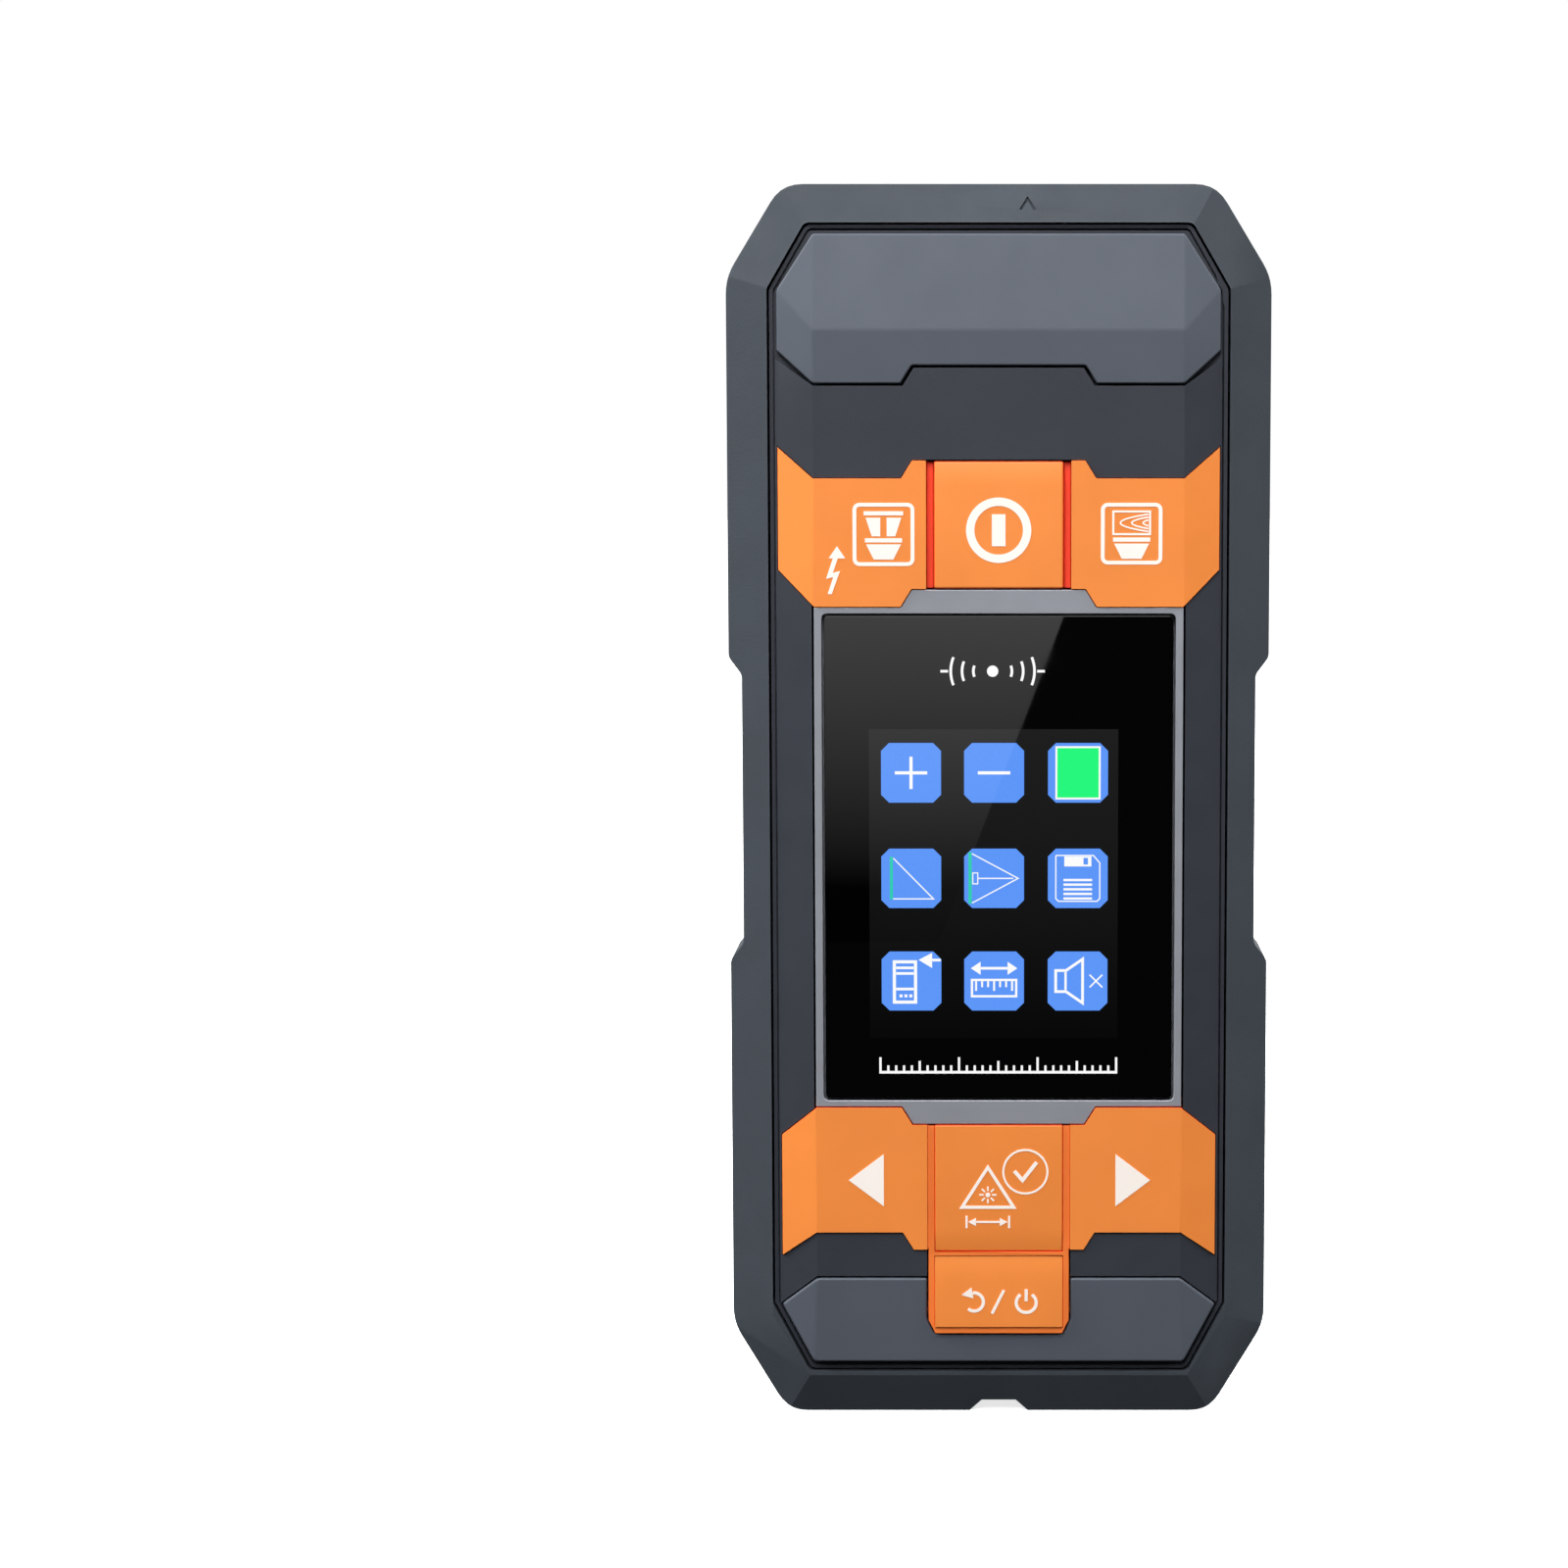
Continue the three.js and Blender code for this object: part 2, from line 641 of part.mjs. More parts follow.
/** White tray that carries the display on the main board. */
function displayTray() {
  const floorBack = TRAY_FRONT + TRAY_WALL;
  const floor = block([-TRAY_HALF, TRAY_FRONT, TRAY_BOTTOM], [TRAY_HALF, floorBack, TRAY_TOP]);
  const walls = [-TRAY_HALF, TRAY_HALF - TRAY_WALL].map((x) => block(
    [x, floorBack - LAP, TRAY_BOTTOM],
    [x + TRAY_WALL, BOARD_FRONT - GAP, TRAY_TOP],
  ));
  return joined([floor, ...walls]);
}

place('screen_surround', screenSurround(), 'silver');
place('screen_window', slab(glassOutline(0), GLASS_FRONT, GLASS_BACK), 'glass');
place('display', slab(displayOutline(0), DISPLAY_FRONT, DISPLAY_BACK), 'display');
place('display_tray', displayTray(), 'white_plastic');

// ---------------------------------------------------------------- keys

const KEY_STEMS = {
  metal_key: [-19.2, 118.5],
  power_key: [0, 120.4],
  wood_key: [19.2, 118.5],
  left_key: [-19, 33.5],
  measure_key: [0, 31.8],
  right_key: [19, 33.5],
  off_key: [0, 17.4],
};

/** The outline that each key is a part of, and that part's lowest and highest X and Z. */
const KEY_FIELDS = {
  metal_key: [upperKeysOutline, [-HALF_WIDTH, 0, -SIDE_KEY_EDGE, HEIGHT]],
  power_key: [upperKeysOutline, [-CENTRE_KEY_HALF, 0, CENTRE_KEY_HALF, HEIGHT]],
  wood_key: [upperKeysOutline, [SIDE_KEY_EDGE, 0, HALF_WIDTH, HEIGHT]],
  left_key: [lowerKeysOutline, [-HALF_WIDTH, 0, -SIDE_KEY_EDGE, HEIGHT]],
  measure_key: [lowerKeysOutline, [-CENTRE_KEY_HALF, OFF_KEY_TOP, CENTRE_KEY_HALF, HEIGHT]],
  right_key: [lowerKeysOutline, [SIDE_KEY_EDGE, 0, HALF_WIDTH, HEIGHT]],
  off_key: [lowerKeysOutline, [
    -CENTRE_KEY_HALF, OFF_KEY_BOTTOM + OFF_KEY_SKIRT,
    CENTRE_KEY_HALF, OFF_KEY_TOP - GROOVE_WIDTH,
  ]],
};

/** One key: its part of the keypad, bevelled like the panel, with a stem to its switch. */
function key(name) {
  const [keypad, [x0, z0, x1, z1]] = KEY_FIELDS[name];
  const [stemX, stemZ] = KEY_STEMS[name];
  const cap = slab(inset(keypad, GAP), KEY_FRONT, KEY_BACK)
    .intersect(facettedBar(KEY_FRONT, KEY_BACK))
    .intersect(block([x0, FRONT_Y - PAST, z0], [x1, KEY_BACK + PAST, z1]));
  return cap.add(rod(stemX, stemZ, STEM_RADIUS, KEY_BACK - LAP, STEM_TIP));
}

for (const name of Object.keys(KEY_STEMS)) {
  place(name, key(name), 'key');
  const [x, z] = KEY_STEMS[name];
  const dome = rod(x, z, DOME_RADIUS, STEM_TIP + KEY_TRAVEL + DOME_PLAY, BOARD_FRONT - GAP);
  place(name.replace('key', 'switch'), dome, 'steel');
}

/** Room in a key mat for the middle keys of a keypad. */
function keyRoom(name) {
  const [x0, z0, x1, z1] = KEY_FIELDS[name][1];
  return block([x0 - GAP, FRONT_Y - PAST, z0 - GAP], [x1 + GAP, MAT_FRONT, z1 + GAP]);
}

/** Rubber mat behind a keypad, with a web standing in the grooves round its middle keys. */
function keyMat(keypad, { bottom, top, grooveDepth }, middleKeys, sideKeys) {
  const reach = SIDE_KEY_EDGE - GAP;
  const sheet = block([-MAT_HALF, MAT_FRONT, bottom], [MAT_HALF, MAT_BACK, top]);
  const web = slab(inset(keypad, GAP), KEY_FRONT + grooveDepth, MAT_BACK)
    .intersect(block([-reach, FRONT_Y, 0], [reach, 0, HEIGHT]));
  const stems = [...middleKeys, ...sideKeys].map((name) => (
    rod(...KEY_STEMS[name], STEM_RADIUS + STEM_PLAY, MAT_FRONT - PAST, MAT_BACK + PAST)
  ));
  return cut(joined([sheet, cut(web, middleKeys.map(keyRoom))]), stems);
}

const upperMat = keyMat(upperKeysOutline, UPPER_MAT, ['power_key'], ['metal_key', 'wood_key']);
place('upper_key_mat', upperMat, 'keymat');
const lowerMiddle = ['measure_key', 'off_key'];
const lowerMat = keyMat(lowerKeysOutline, LOWER_MAT, lowerMiddle, ['left_key', 'right_key']);
place('lower_key_mat', lowerMat, 'key');

// ---------------------------------------------------------------- electronics

/** Main circuit board, clear of the four screw bosses. */
function mainBoard() {
  const { half, bottom, top, corner } = MAIN_BOARD;
  const board = slab(rectangle(half, bottom, top, corner), BOARD_FRONT, BOARD_BACK);
  return cut(board, onEachScrew(FRONT_BOSS_RADIUS + 2 * GAP, BOARD_FRONT - PAST, BOARD_BACK + PAST, 16));
}

/** Sounder standing on the back of the main board. */
function buzzer() {
  const { x, z, radius, height } = BUZZER;
  const foot = BOARD_BACK + GAP;
  return rod(x, z, radius, foot, foot + height, 20);
}

/** Square chip on the back of the main board. */
function processor() {
  const { x, z, half, height } = PROCESSOR;
  const foot = BOARD_BACK + GAP;
  return block([x - half, foot, z - half], [x + half, foot + height, z + half]);
}

place('main_board', mainBoard(), 'circuit_board');
place('buzzer', buzzer(), 'black_plastic');
place('processor', processor(), 'black_plastic');

// ---------------------------------------------------------------- optics

/** Black block with a bore for the laser barrel and a bore for the receiving lens. */
function opticsBlock() {
  const body = block([...apertureFrom, OPTICS_BOTTOM], [...apertureTo, OPTICS_TOP]);
  const from = OPTICS_BOTTOM - PAST;
  const to = OPTICS_TOP + PAST;
  return cut(body, [
    post(LASER_X, OPTIC_AXIS_Y, BARREL_RADIUS + GAP, from, to),
    post(RECEIVER_X, OPTIC_AXIS_Y, LENS_RADIUS + GAP, RECEIVER_FLOOR, to),
    post(RECEIVER_X, OPTIC_AXIS_Y, SENSOR_HOLE_RADIUS, from, RECEIVER_FLOOR + PAST, 12),
  ]);
}

/** Lens with a round front and a flat back, its axis along Z. */
function lens(x, radius, { bottom, edge, crown }) {
  const dome = Array.from({ length: ROUND_STEPS }, (_, step) => {
    const angle = (step / (ROUND_STEPS - 1)) * (Math.PI / 2);
    return [radius * Math.cos(angle), edge + crown * Math.sin(angle)];
  });
  return turned([[0, 0], [radius, 0], ...dome]).translate([x, OPTIC_AXIS_Y, bottom]);
}

const laser = post(LASER_X, OPTIC_AXIS_Y, BARREL_RADIUS, LASER_BOTTOM, LASER_TOP);
place('optics_block', opticsBlock(), 'black_plastic');
place('laser_module', laser, 'brass');
place('collimator_lens', lens(LASER_X, BARREL_RADIUS - LENS_PLAY, COLLIMATOR), 'lens');
place('receiver_lens', lens(RECEIVER_X, LENS_RADIUS, RECEIVER_LENS), 'lens');
place('receiver_board', block(RECEIVER_BOARD.from, RECEIVER_BOARD.to), 'circuit_board');
place('end_window', endAperture(0, END_WINDOW_BOTTOM, END_WINDOW_TOP), 'window');

// ---------------------------------------------------------------- detector

/** Flat ring coil lying behind the back wall, round the axis of the detector. */
function detectorCoil() {
  const ring = rod(0, DETECTOR_Z, COIL_RADIUS, COIL_FRONT, COIL_BACK, 32);
  return ring.subtract(rod(0, DETECTOR_Z, COIL_INNER_RADIUS, COIL_FRONT - PAST, COIL_BACK + PAST, 32));
}

/** Small board between the coil and the battery bay. */
function detectorBoard() {
  const { half, bottom, top, corner, front, back } = DETECTOR_BOARD;
  return slab(rectangle(half, bottom, top, corner), front, back);
}

place('detector_board', detectorBoard(), 'circuit_board');
place('detector_coil', detectorCoil(), 'copper');

// ---------------------------------------------------------------- rear shell

const recess = rectangle(DOOR_HALF + GAP, DOOR_BOTTOM - GAP, DOOR_TOP + GAP, DOOR_CORNER);
const pads = PAD_ROWS.flatMap((z) => [[-PAD_X, z], [PAD_X, z]]);

/** Outline of one glide pad, grown by a margin. */
function padOutline(x, z, margin) {
  const half = PAD_HALF + margin;
  const rise = PAD_HEIGHT / 2 + margin;
  const corners = [[half, -rise], [half, rise], [-half, rise], [-half, -rise]];
  return corners.map(([dx, dz]) => [x + dx, z + dz, PAD_CORNER + margin]);
}

/** Outside of the rear shell: upright sides, then a chamfer all round the back. */
function rearEnvelope() {
  const half = HALF_WIDTH - SHELL_MARGIN;
  const top = HEIGHT - SHELL_MARGIN;
  const corners = octagon(half, top);
  const envelope = hull([
    ...corners.map(([x, z]) => [x, SPLIT_Y, z]),
    ...corners.map(([x, z]) => [x, SHELL_CHAMFER_START, z]),
    ...inset(corners, SHELL_CHAMFER).map(([x, z]) => [x, SHELL_BACK, z]),
  ]);
  const upright = slab(bodyOutline(half, WAIST_HALF - SHELL_MARGIN, top), SPLIT_Y + GAP, SHELL_BACK);
  return upright.intersect(envelope);
}

/** Lip inside the seam, which stands behind the wall of the front housing and closes the gap. */
function seamLip() {
  const root = slab(inset(windowOutline, SHELL_RIM - LAP), SPLIT_Y + GAP, SPLIT_Y + GAP + LIP_WIDTH);
  const lipInset = GAP + HOUSING_WALL + GAP;
  const tongue = slab(inset(windowOutline, lipInset), LIP_FRONT, SPLIT_Y + GAP + LAP);
  const inside = slab(inset(windowOutline, lipInset + LIP_WIDTH), SPLIT_Y - PAST, SHELL_BACK);
  const bossRoom = onEachScrew(FRONT_BOSS_RADIUS + GAP, SPLIT_Y - PAST, FRONT_BOSS_END + GAP, 16);
  return cut(root.add(tongue), [inside, ...bossRoom]);
}

/** Pocket in the shell for one hooked tab of the door. */
function hookPocket(x) {
  const half = HOOK_WIDTH / 2 + HOOK_PLAY;
  return block(
    [x - half, HOOK_FRONT - 3 * GAP, DOOR_BOTTOM - HOOK_REACH - 2 * GAP],
    [x + half, HOOK_FRONT + HOOK_THICKNESS + HOOK_PLAY, BAY_BOTTOM + PAST],
  );
}

/** Rear shell: a tray with a chamfered back, the battery bay, a lip and four screw bosses. */
function rearShell() {
  const cavity = slab(inset(windowOutline, SHELL_RIM), SPLIT_Y, SHELL_BACK - SHELL_WALL);
  const bay = block(
    [-BAY_HALF - BAY_SIDE_WALL, BAY_FRONT, BAY_BOTTOM - BAY_END_WALL],
    [BAY_HALF + BAY_SIDE_WALL, SHELL_BACK - SHELL_WALL / 2, BAY_TOP + BAY_END_WALL],
  );
  const bosses = onEachScrew(REAR_BOSS_RADIUS, SPLIT_Y + PAST, SHELL_BACK - SHELL_WALL / 2, 16);
  const padPockets = pads.map(([x, z]) => slab(padOutline(x, z, GAP), PAD_SEAT - GAP, BACK_Y + PAST));
  return cut(joined([rearEnvelope().subtract(cavity), seamLip(), bay, ...bosses]), [
    block([-BAY_HALF, BAY_FLOOR, BAY_BOTTOM], [BAY_HALF, BACK_Y, BAY_TOP]),
    slab(recess, DOOR_FRONT - GAP, BACK_Y + PAST),
    hookPocket(-HOOK_X),
    hookPocket(HOOK_X),
    ...onEachScrew(SHANK_RADIUS + GAP, SPLIT_Y, SHELL_BACK + PAST, 12),
    ...onEachScrew(HEAD_RADIUS + GAP, HEAD_FRONT - GAP, SHELL_BACK + PAST, 16),
    ...padPockets,
  ]);
}

place('rear_shell', rearShell(), 'shell');
pads.forEach(([x, z], index) => {
  place(`glide_pad_${index + 1}`, slab(padOutline(x, z, 0), PAD_SEAT, BACK_Y), 'felt');
});

/** Screw with a flat head, a cross slot and a plain shank, driven from the back. */
function screw(x, z) {
  const headBack = HEAD_FRONT + HEAD_HEIGHT;
  const head = rod(x, z, HEAD_RADIUS, HEAD_FRONT, headBack, 20);
  const shank = rod(x, z, SHANK_RADIUS, SHANK_TIP, HEAD_FRONT + LAP, 12);
  const slots = [[SLOT_REACH, SLOT_HALF], [SLOT_HALF, SLOT_REACH]].map(([dx, dz]) => block(
    [x - dx, headBack - SLOT_DEPTH, z - dz],
    [x + dx, headBack + PAST, z + dz],
  ));
  return cut(head.add(shank), slots);
}

screws.forEach(([x, z], index) => {
  place(`case_screw_${index + 1}`, screw(x, z), 'steel');
});

// ---------------------------------------------------------------- batteries

const plateZ = { lower: BAY_BOTTOM + GAP, upper: BAY_TOP - GAP - CONTACT_THICKNESS };
const cellsMiddle = (BAY_BOTTOM + BAY_TOP) / 2;

/** One cell on its own axis, standing on its flat end, with its raised contact on top. */
function cell() {
  return turned([
    [0, 0],
    [CELL_RADIUS - CELL_ROUND, 0],
    [CELL_RADIUS, CELL_ROUND],
    [CELL_RADIUS, CELL_LENGTH - CELL_ROUND],
    [CELL_RADIUS - CELL_ROUND, CELL_LENGTH],
    [NUB_RADIUS, CELL_LENGTH],
    [NUB_RADIUS, CELL_LENGTH + NUB_LENGTH],
    [0, CELL_LENGTH + NUB_LENGTH],
  ]);
}

/** Outer shape of one contact spring, wide at its plate and narrow at the cell. */
function contactSpring() {
  return turned([
    [0, 0],
    [SPRING_FOOT_RADIUS, 0],
    [SPRING_FOOT_RADIUS, SPRING_FOOT_HEIGHT],
    [SPRING_TIP_RADIUS, SPRING_LENGTH],
    [0, SPRING_LENGTH],
  ], 16);
}

/** One cell with its spring. Every second cell is turned end for end. */
function placeCell(number) {
  const x = (number - 2) * CELL_PITCH;
  const turnedOver = number % 2 === 0;
  const springFoot = plateZ.lower + CONTACT_THICKNESS + GAP;
  const cellFoot = springFoot + SPRING_LENGTH + GAP;
  const flip = (body) => (turnedOver ? body.mirror([0, 0, 1]).translate([0, 0, 2 * cellsMiddle]) : body);
  place(`battery_${number}`, flip(cell().translate([x, CELL_Y, cellFoot])), 'battery');
  place(`contact_spring_${number}`, flip(contactSpring().translate([x, CELL_Y, springFoot])), 'steel');
}

[1, 2, 3].forEach(placeCell);

for (const [end, z] of Object.entries(plateZ)) {
  const corner = [CONTACT_HALF, CONTACT_BACK, z + CONTACT_THICKNESS];
  place(`contact_plate_${end}`, block([-CONTACT_HALF, CONTACT_FRONT, z], corner), 'steel');
}

// ---------------------------------------------------------------- battery door

/** One hooked tab under the lower edge of the door, which the door swings on. */
function doorHook(x) {
  const half = HOOK_WIDTH / 2;
  const top = DOOR_BOTTOM + HOOK_ROOT;
  const tip = DOOR_BOTTOM - HOOK_REACH;
  const root = block([x - half, HOOK_FRONT, DOOR_BOTTOM], [x + half, DOOR_FRONT + LAP, top]);
  const foot = block([x - half, HOOK_FRONT, tip], [x + half, HOOK_FRONT + HOOK_THICKNESS, top]);
  return root.add(foot);
}

/** Door over the battery bay, with two hooked tabs below and a floored gap for its latch above. */
function batteryDoor() {
  const leaf = slab(rectangle(DOOR_HALF, DOOR_BOTTOM, DOOR_TOP, DOOR_CORNER), DOOR_FRONT, SHELL_BACK);
  const half = LATCH_HALF + GAP;
  const back = SHELL_BACK + PAST;
  const latchGap = block(
    [-half, DOOR_FRONT + LATCH_FLOOR, DOOR_TOP - LATCH_LENGTH - LATCH_ROOM],
    [half, back, DOOR_TOP + PAST],
  );
  const tongueGap = block([-half, DOOR_FRONT - PAST, LATCH_FLOOR_TOP], [half, back, DOOR_TOP + PAST]);
  return cut(joined([leaf, doorHook(-HOOK_X), doorHook(HOOK_X)]), [latchGap, tongueGap]);
}

/** Sprung latch in the upper edge of the door: a thumb plate over the floor, and a thicker tongue. */
function doorLatch() {
  const plateFront = DOOR_FRONT + LATCH_FLOOR + GAP;
  const corner = [LATCH_HALF, SHELL_BACK, DOOR_TOP];
  const plate = block([-LATCH_HALF, plateFront, DOOR_TOP - LATCH_LENGTH], corner);
  const tongue = block([-LATCH_HALF, DOOR_FRONT, DOOR_TOP - LATCH_TONGUE], corner);
  return plate.add(tongue);
}

place('battery_door', batteryDoor(), 'shell');
place('door_latch', doorLatch(), 'shell');

export default instrument;
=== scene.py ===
"""Looks of a hand-held laser distance meter with a wall detector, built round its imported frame.

The instrument stands on its lower end, faces -Y, and sends its beam out of the upper end along +Z.
Sizes in this file are millimetres, and every mesh is written in metres.
"""

import json
import logging
import math
from collections.abc import Callable, Iterator
from dataclasses import dataclass, field, replace
from enum import Enum

import bmesh
import bpy
from mathutils import Matrix, Vector
from mathutils.bvhtree import BVHTree

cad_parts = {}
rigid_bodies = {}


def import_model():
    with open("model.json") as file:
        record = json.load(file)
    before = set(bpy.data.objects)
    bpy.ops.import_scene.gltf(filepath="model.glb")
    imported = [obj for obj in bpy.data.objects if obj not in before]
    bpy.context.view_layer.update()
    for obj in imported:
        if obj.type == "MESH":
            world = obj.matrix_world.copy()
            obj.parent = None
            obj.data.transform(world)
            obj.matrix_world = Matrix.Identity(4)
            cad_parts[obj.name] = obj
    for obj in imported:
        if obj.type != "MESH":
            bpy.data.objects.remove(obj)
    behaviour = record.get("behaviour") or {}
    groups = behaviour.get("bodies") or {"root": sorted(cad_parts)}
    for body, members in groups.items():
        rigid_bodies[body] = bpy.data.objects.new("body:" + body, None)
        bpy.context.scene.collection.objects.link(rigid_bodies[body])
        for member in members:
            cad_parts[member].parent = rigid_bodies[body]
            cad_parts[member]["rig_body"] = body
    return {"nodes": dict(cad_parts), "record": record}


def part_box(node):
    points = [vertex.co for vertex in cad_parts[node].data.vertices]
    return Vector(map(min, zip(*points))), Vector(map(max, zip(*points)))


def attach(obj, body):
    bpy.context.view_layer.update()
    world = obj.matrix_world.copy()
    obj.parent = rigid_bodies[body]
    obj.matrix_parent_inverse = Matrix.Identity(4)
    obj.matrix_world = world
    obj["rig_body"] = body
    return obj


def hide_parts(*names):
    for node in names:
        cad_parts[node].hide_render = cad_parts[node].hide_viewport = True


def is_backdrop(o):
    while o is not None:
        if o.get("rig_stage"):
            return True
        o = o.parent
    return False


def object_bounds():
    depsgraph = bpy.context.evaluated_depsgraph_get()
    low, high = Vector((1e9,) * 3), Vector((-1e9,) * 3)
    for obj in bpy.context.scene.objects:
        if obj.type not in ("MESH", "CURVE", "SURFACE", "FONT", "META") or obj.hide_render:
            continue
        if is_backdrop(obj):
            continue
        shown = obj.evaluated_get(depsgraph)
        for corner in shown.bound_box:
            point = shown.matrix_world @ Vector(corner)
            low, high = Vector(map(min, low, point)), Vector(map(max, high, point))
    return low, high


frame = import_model()

MM = 0.001
WELD = 2e-6
ON_PLANE = 1e-6
FLAT_DEGREES = 0.4
SHARP_DEGREES = 40
PAST = 1
FULL = (0, 1)
BLACK = (0, 0, 0)
WHITE = (1, 1, 1)
SIDES = (-1, 1)
UP = Vector((0, 0, 1))

Point = tuple[float, float]
Loop = list[Point]
Colour = tuple[float, float, float]
Socket = bpy.types.NodeSocket
Ring = list[bmesh.types.BMVert]

log = logging.getLogger("distance_meter")


# ---------------------------------------------------------------- outlines


def arc(x: float, z: float, radius: float, start: float, end: float, steps: int = 12) -> Loop:
    """Points along a round arc.

    Args:
        x: Centre along X.
        z: Centre along Z.
        radius: Radius of the arc.
        start: First angle in degrees, anticlockwise from +X.
        end: Last angle in degrees.
        steps: Number of straight pieces.

    Returns:
        The points in order, both ends included.
    """
    angles = [math.radians(start + (end - start) * step / steps) for step in range(steps + 1)]
    return [(x + radius * math.cos(angle), z + radius * math.sin(angle)) for angle in angles]


def circle(x: float, z: float, radius: float, steps: int = 40) -> Loop:
    """Closed round loop, its first point not repeated."""
    return arc(x, z, radius, 0, 360, steps)[:-1]


def rectangle(x0: float, z0: float, x1: float, z1: float, radius: float = 0) -> Loop:
    """Closed rectangle between two corners.

    Args:
        x0: Lower X.
        z0: Lower Z.
        x1: Upper X.
        z1: Upper Z.
        radius: Radius of its corners, 0 for sharp ones.

    Returns:
        Its points, anticlockwise.
    """
    if not radius:
        return [(x0, z0), (x1, z0), (x1, z1), (x0, z1)]
    corners = [(x1 - radius, z0 + radius, -90), (x1 - radius, z1 - radius, 0)]
    corners += [(x0 + radius, z1 - radius, 90), (x0 + radius, z0 + radius, 180)]
    return [point for x, z, turn in corners for point in arc(x, z, radius, turn, turn + 90, 5)]


def chamfered(x: float, z: float, half: float, corner: float) -> Loop:
    """Closed square round a centre, with its corners cut off.

    Args:
        x: Its middle.
        z: Its middle.
        half: Half its width.
        corner: How far each corner is cut back.

    Returns:
        The eight corners.
    """
    near = half - corner
    signs = [(half, -near), (half, near), (near, half), (-near, half)]
    signs += [(-half, near), (-half, -near), (-near, -half), (near, -half)]
    return moved(signs, x, z)


def cross(x: float, z: float, reach: float, half: float, turn: float = 0) -> Loop:
    """Closed cross with four equal arms.

    Args:
        x: Middle of the cross.
        z: Middle of the cross.
        reach: Length of an arm from the middle.
        half: Half the width of an arm.
        turn: Turn of the whole cross, in degrees.

    Returns:
        The twelve corners.
    """
    corners = [Vector((reach, -half)), Vector((reach, half)), Vector((half, half))]
    turned = []
    for quarter in range(4):
        spin = Matrix.Rotation(math.radians(turn + 90 * quarter), 2)
        turned += [spin @ corner for corner in corners]
    return [(x + corner.x, z + corner.y) for corner in turned]


def moved(loop: Loop, x: float, z: float) -> Loop:
    """The same loop, moved by X and Z."""
    return [(x + dx, z + dz) for dx, dz in loop]


def area_of(loop: Loop) -> float:
    """Signed area of a loop, above zero where it runs anticlockwise."""
    pairs = zip(loop, loop[1:] + loop[:1])
    return sum(x0 * z1 - x1 * z0 for (x0, z0), (x1, z1) in pairs) / 2


def inset(loop: Loop, distance: float) -> Loop:
    """The same loop with each side moved inwards by a distance.

    Args:
        loop: A closed loop, either way round.
        distance: How far the sides move, below zero to grow the loop.

    Returns:
        The moved loop, with as many points as before.
    """
    turn = 1 if area_of(loop) > 0 else -1
    moved = []
    for index, (x, z) in enumerate(loop):
        sides = [(loop[index - 1], (x, z)), ((x, z), loop[(index + 1) % len(loop)])]
        normals = []
        for (ax, az), (bx, bz) in sides:
            length = math.hypot(bx - ax, bz - az)
            normals.append((turn * (az - bz) / length, turn * (bx - ax) / length))
        (px, pz), (qx, qz) = normals
        spread = 1 + px * qx + pz * qz
        moved.append((x + distance * (px + qx) / spread, z + distance * (pz + qz) / spread))
    return moved


def ribbon(path: Loop, width: float) -> Loop:
    """Closed loop round an open path, with mitred corners.

    Args:
        path: The middle line.
        width: Full width of the line.

    Returns:
        The loop, down one side and back along the other.
    """
    sides: tuple[Loop, Loop] = ([], [])
    for index, (x, z) in enumerate(path):
        before = path[max(index - 1, 0)]
        after = path[min(index + 1, len(path) - 1)]
        normals = []
        for (ax, az), (bx, bz) in ((before, (x, z)), ((x, z), after)):
            length = math.hypot(bx - ax, bz - az)
            if length:
                normals.append(((az - bz) / length, (bx - ax) / length))
        (px, pz), (qx, qz) = normals[0], normals[-1]
        spread = 1 + px * qx + pz * qz
        dx, dz = (px + qx) / spread * width / 2, (pz + qz) / spread * width / 2
        sides[0].append((x + dx, z + dz))
        sides[1].append((x - dx, z - dz))
    return sides[0] + sides[1][::-1]


def sliced(work: bmesh.types.BMesh, place: Vector, normal: Vector) -> list:
    """Cuts the faces of a working mesh along a plane, and keeps both sides.

    Args:
        work: The working mesh.
        place: A point on the plane.
        normal: The plane's direction.

    Returns:
        The vertices and edges on the plane.
    """
    geometry = work.verts[:] + work.edges[:] + work.faces[:]
    plane = {"plane_co": place * MM, "plane_no": normal}
    return bmesh.ops.bisect_plane(work, geom=geometry, dist=ON_PLANE, **plane)["geom_cut"]


def section(node: str, y: float) -> list[Loop]:
    """Outlines of a CAD node where a plane across Y cuts it.

    Args:
        node: The node's name.
        y: Place of the plane.

    Returns:
        The closed loops, the largest first, with no points along straight sides.
    """
    work = bmesh.new()
    work.from_mesh(frame["nodes"][node].data)
    bmesh.ops.remove_doubles(work, verts=work.verts, dist=ON_PLANE)
    cut = sliced(work, Vector((0, y, 0)), Vector((0, 1, 0)))
    links: dict[bmesh.types.BMVert, list[bmesh.types.BMVert]] = {}
    for edge in (part for part in cut if isinstance(part, bmesh.types.BMEdge)):
        first, second = edge.verts
        links.setdefault(first, []).append(second)
        links.setdefault(second, []).append(first)
    loops, seen = [], set()
    for start in links:
        chain, here = [], start
        while here is not None:
            seen.add(here)
            chain.append((here.co.x / MM, here.co.z / MM))
            here = next((other for other in links[here] if other not in seen), None)
        if len(chain) > 2:
            loops.append(straightened(chain))
    work.free()
    return sorted(loops, key=lambda loop: -abs(area_of(loop)))


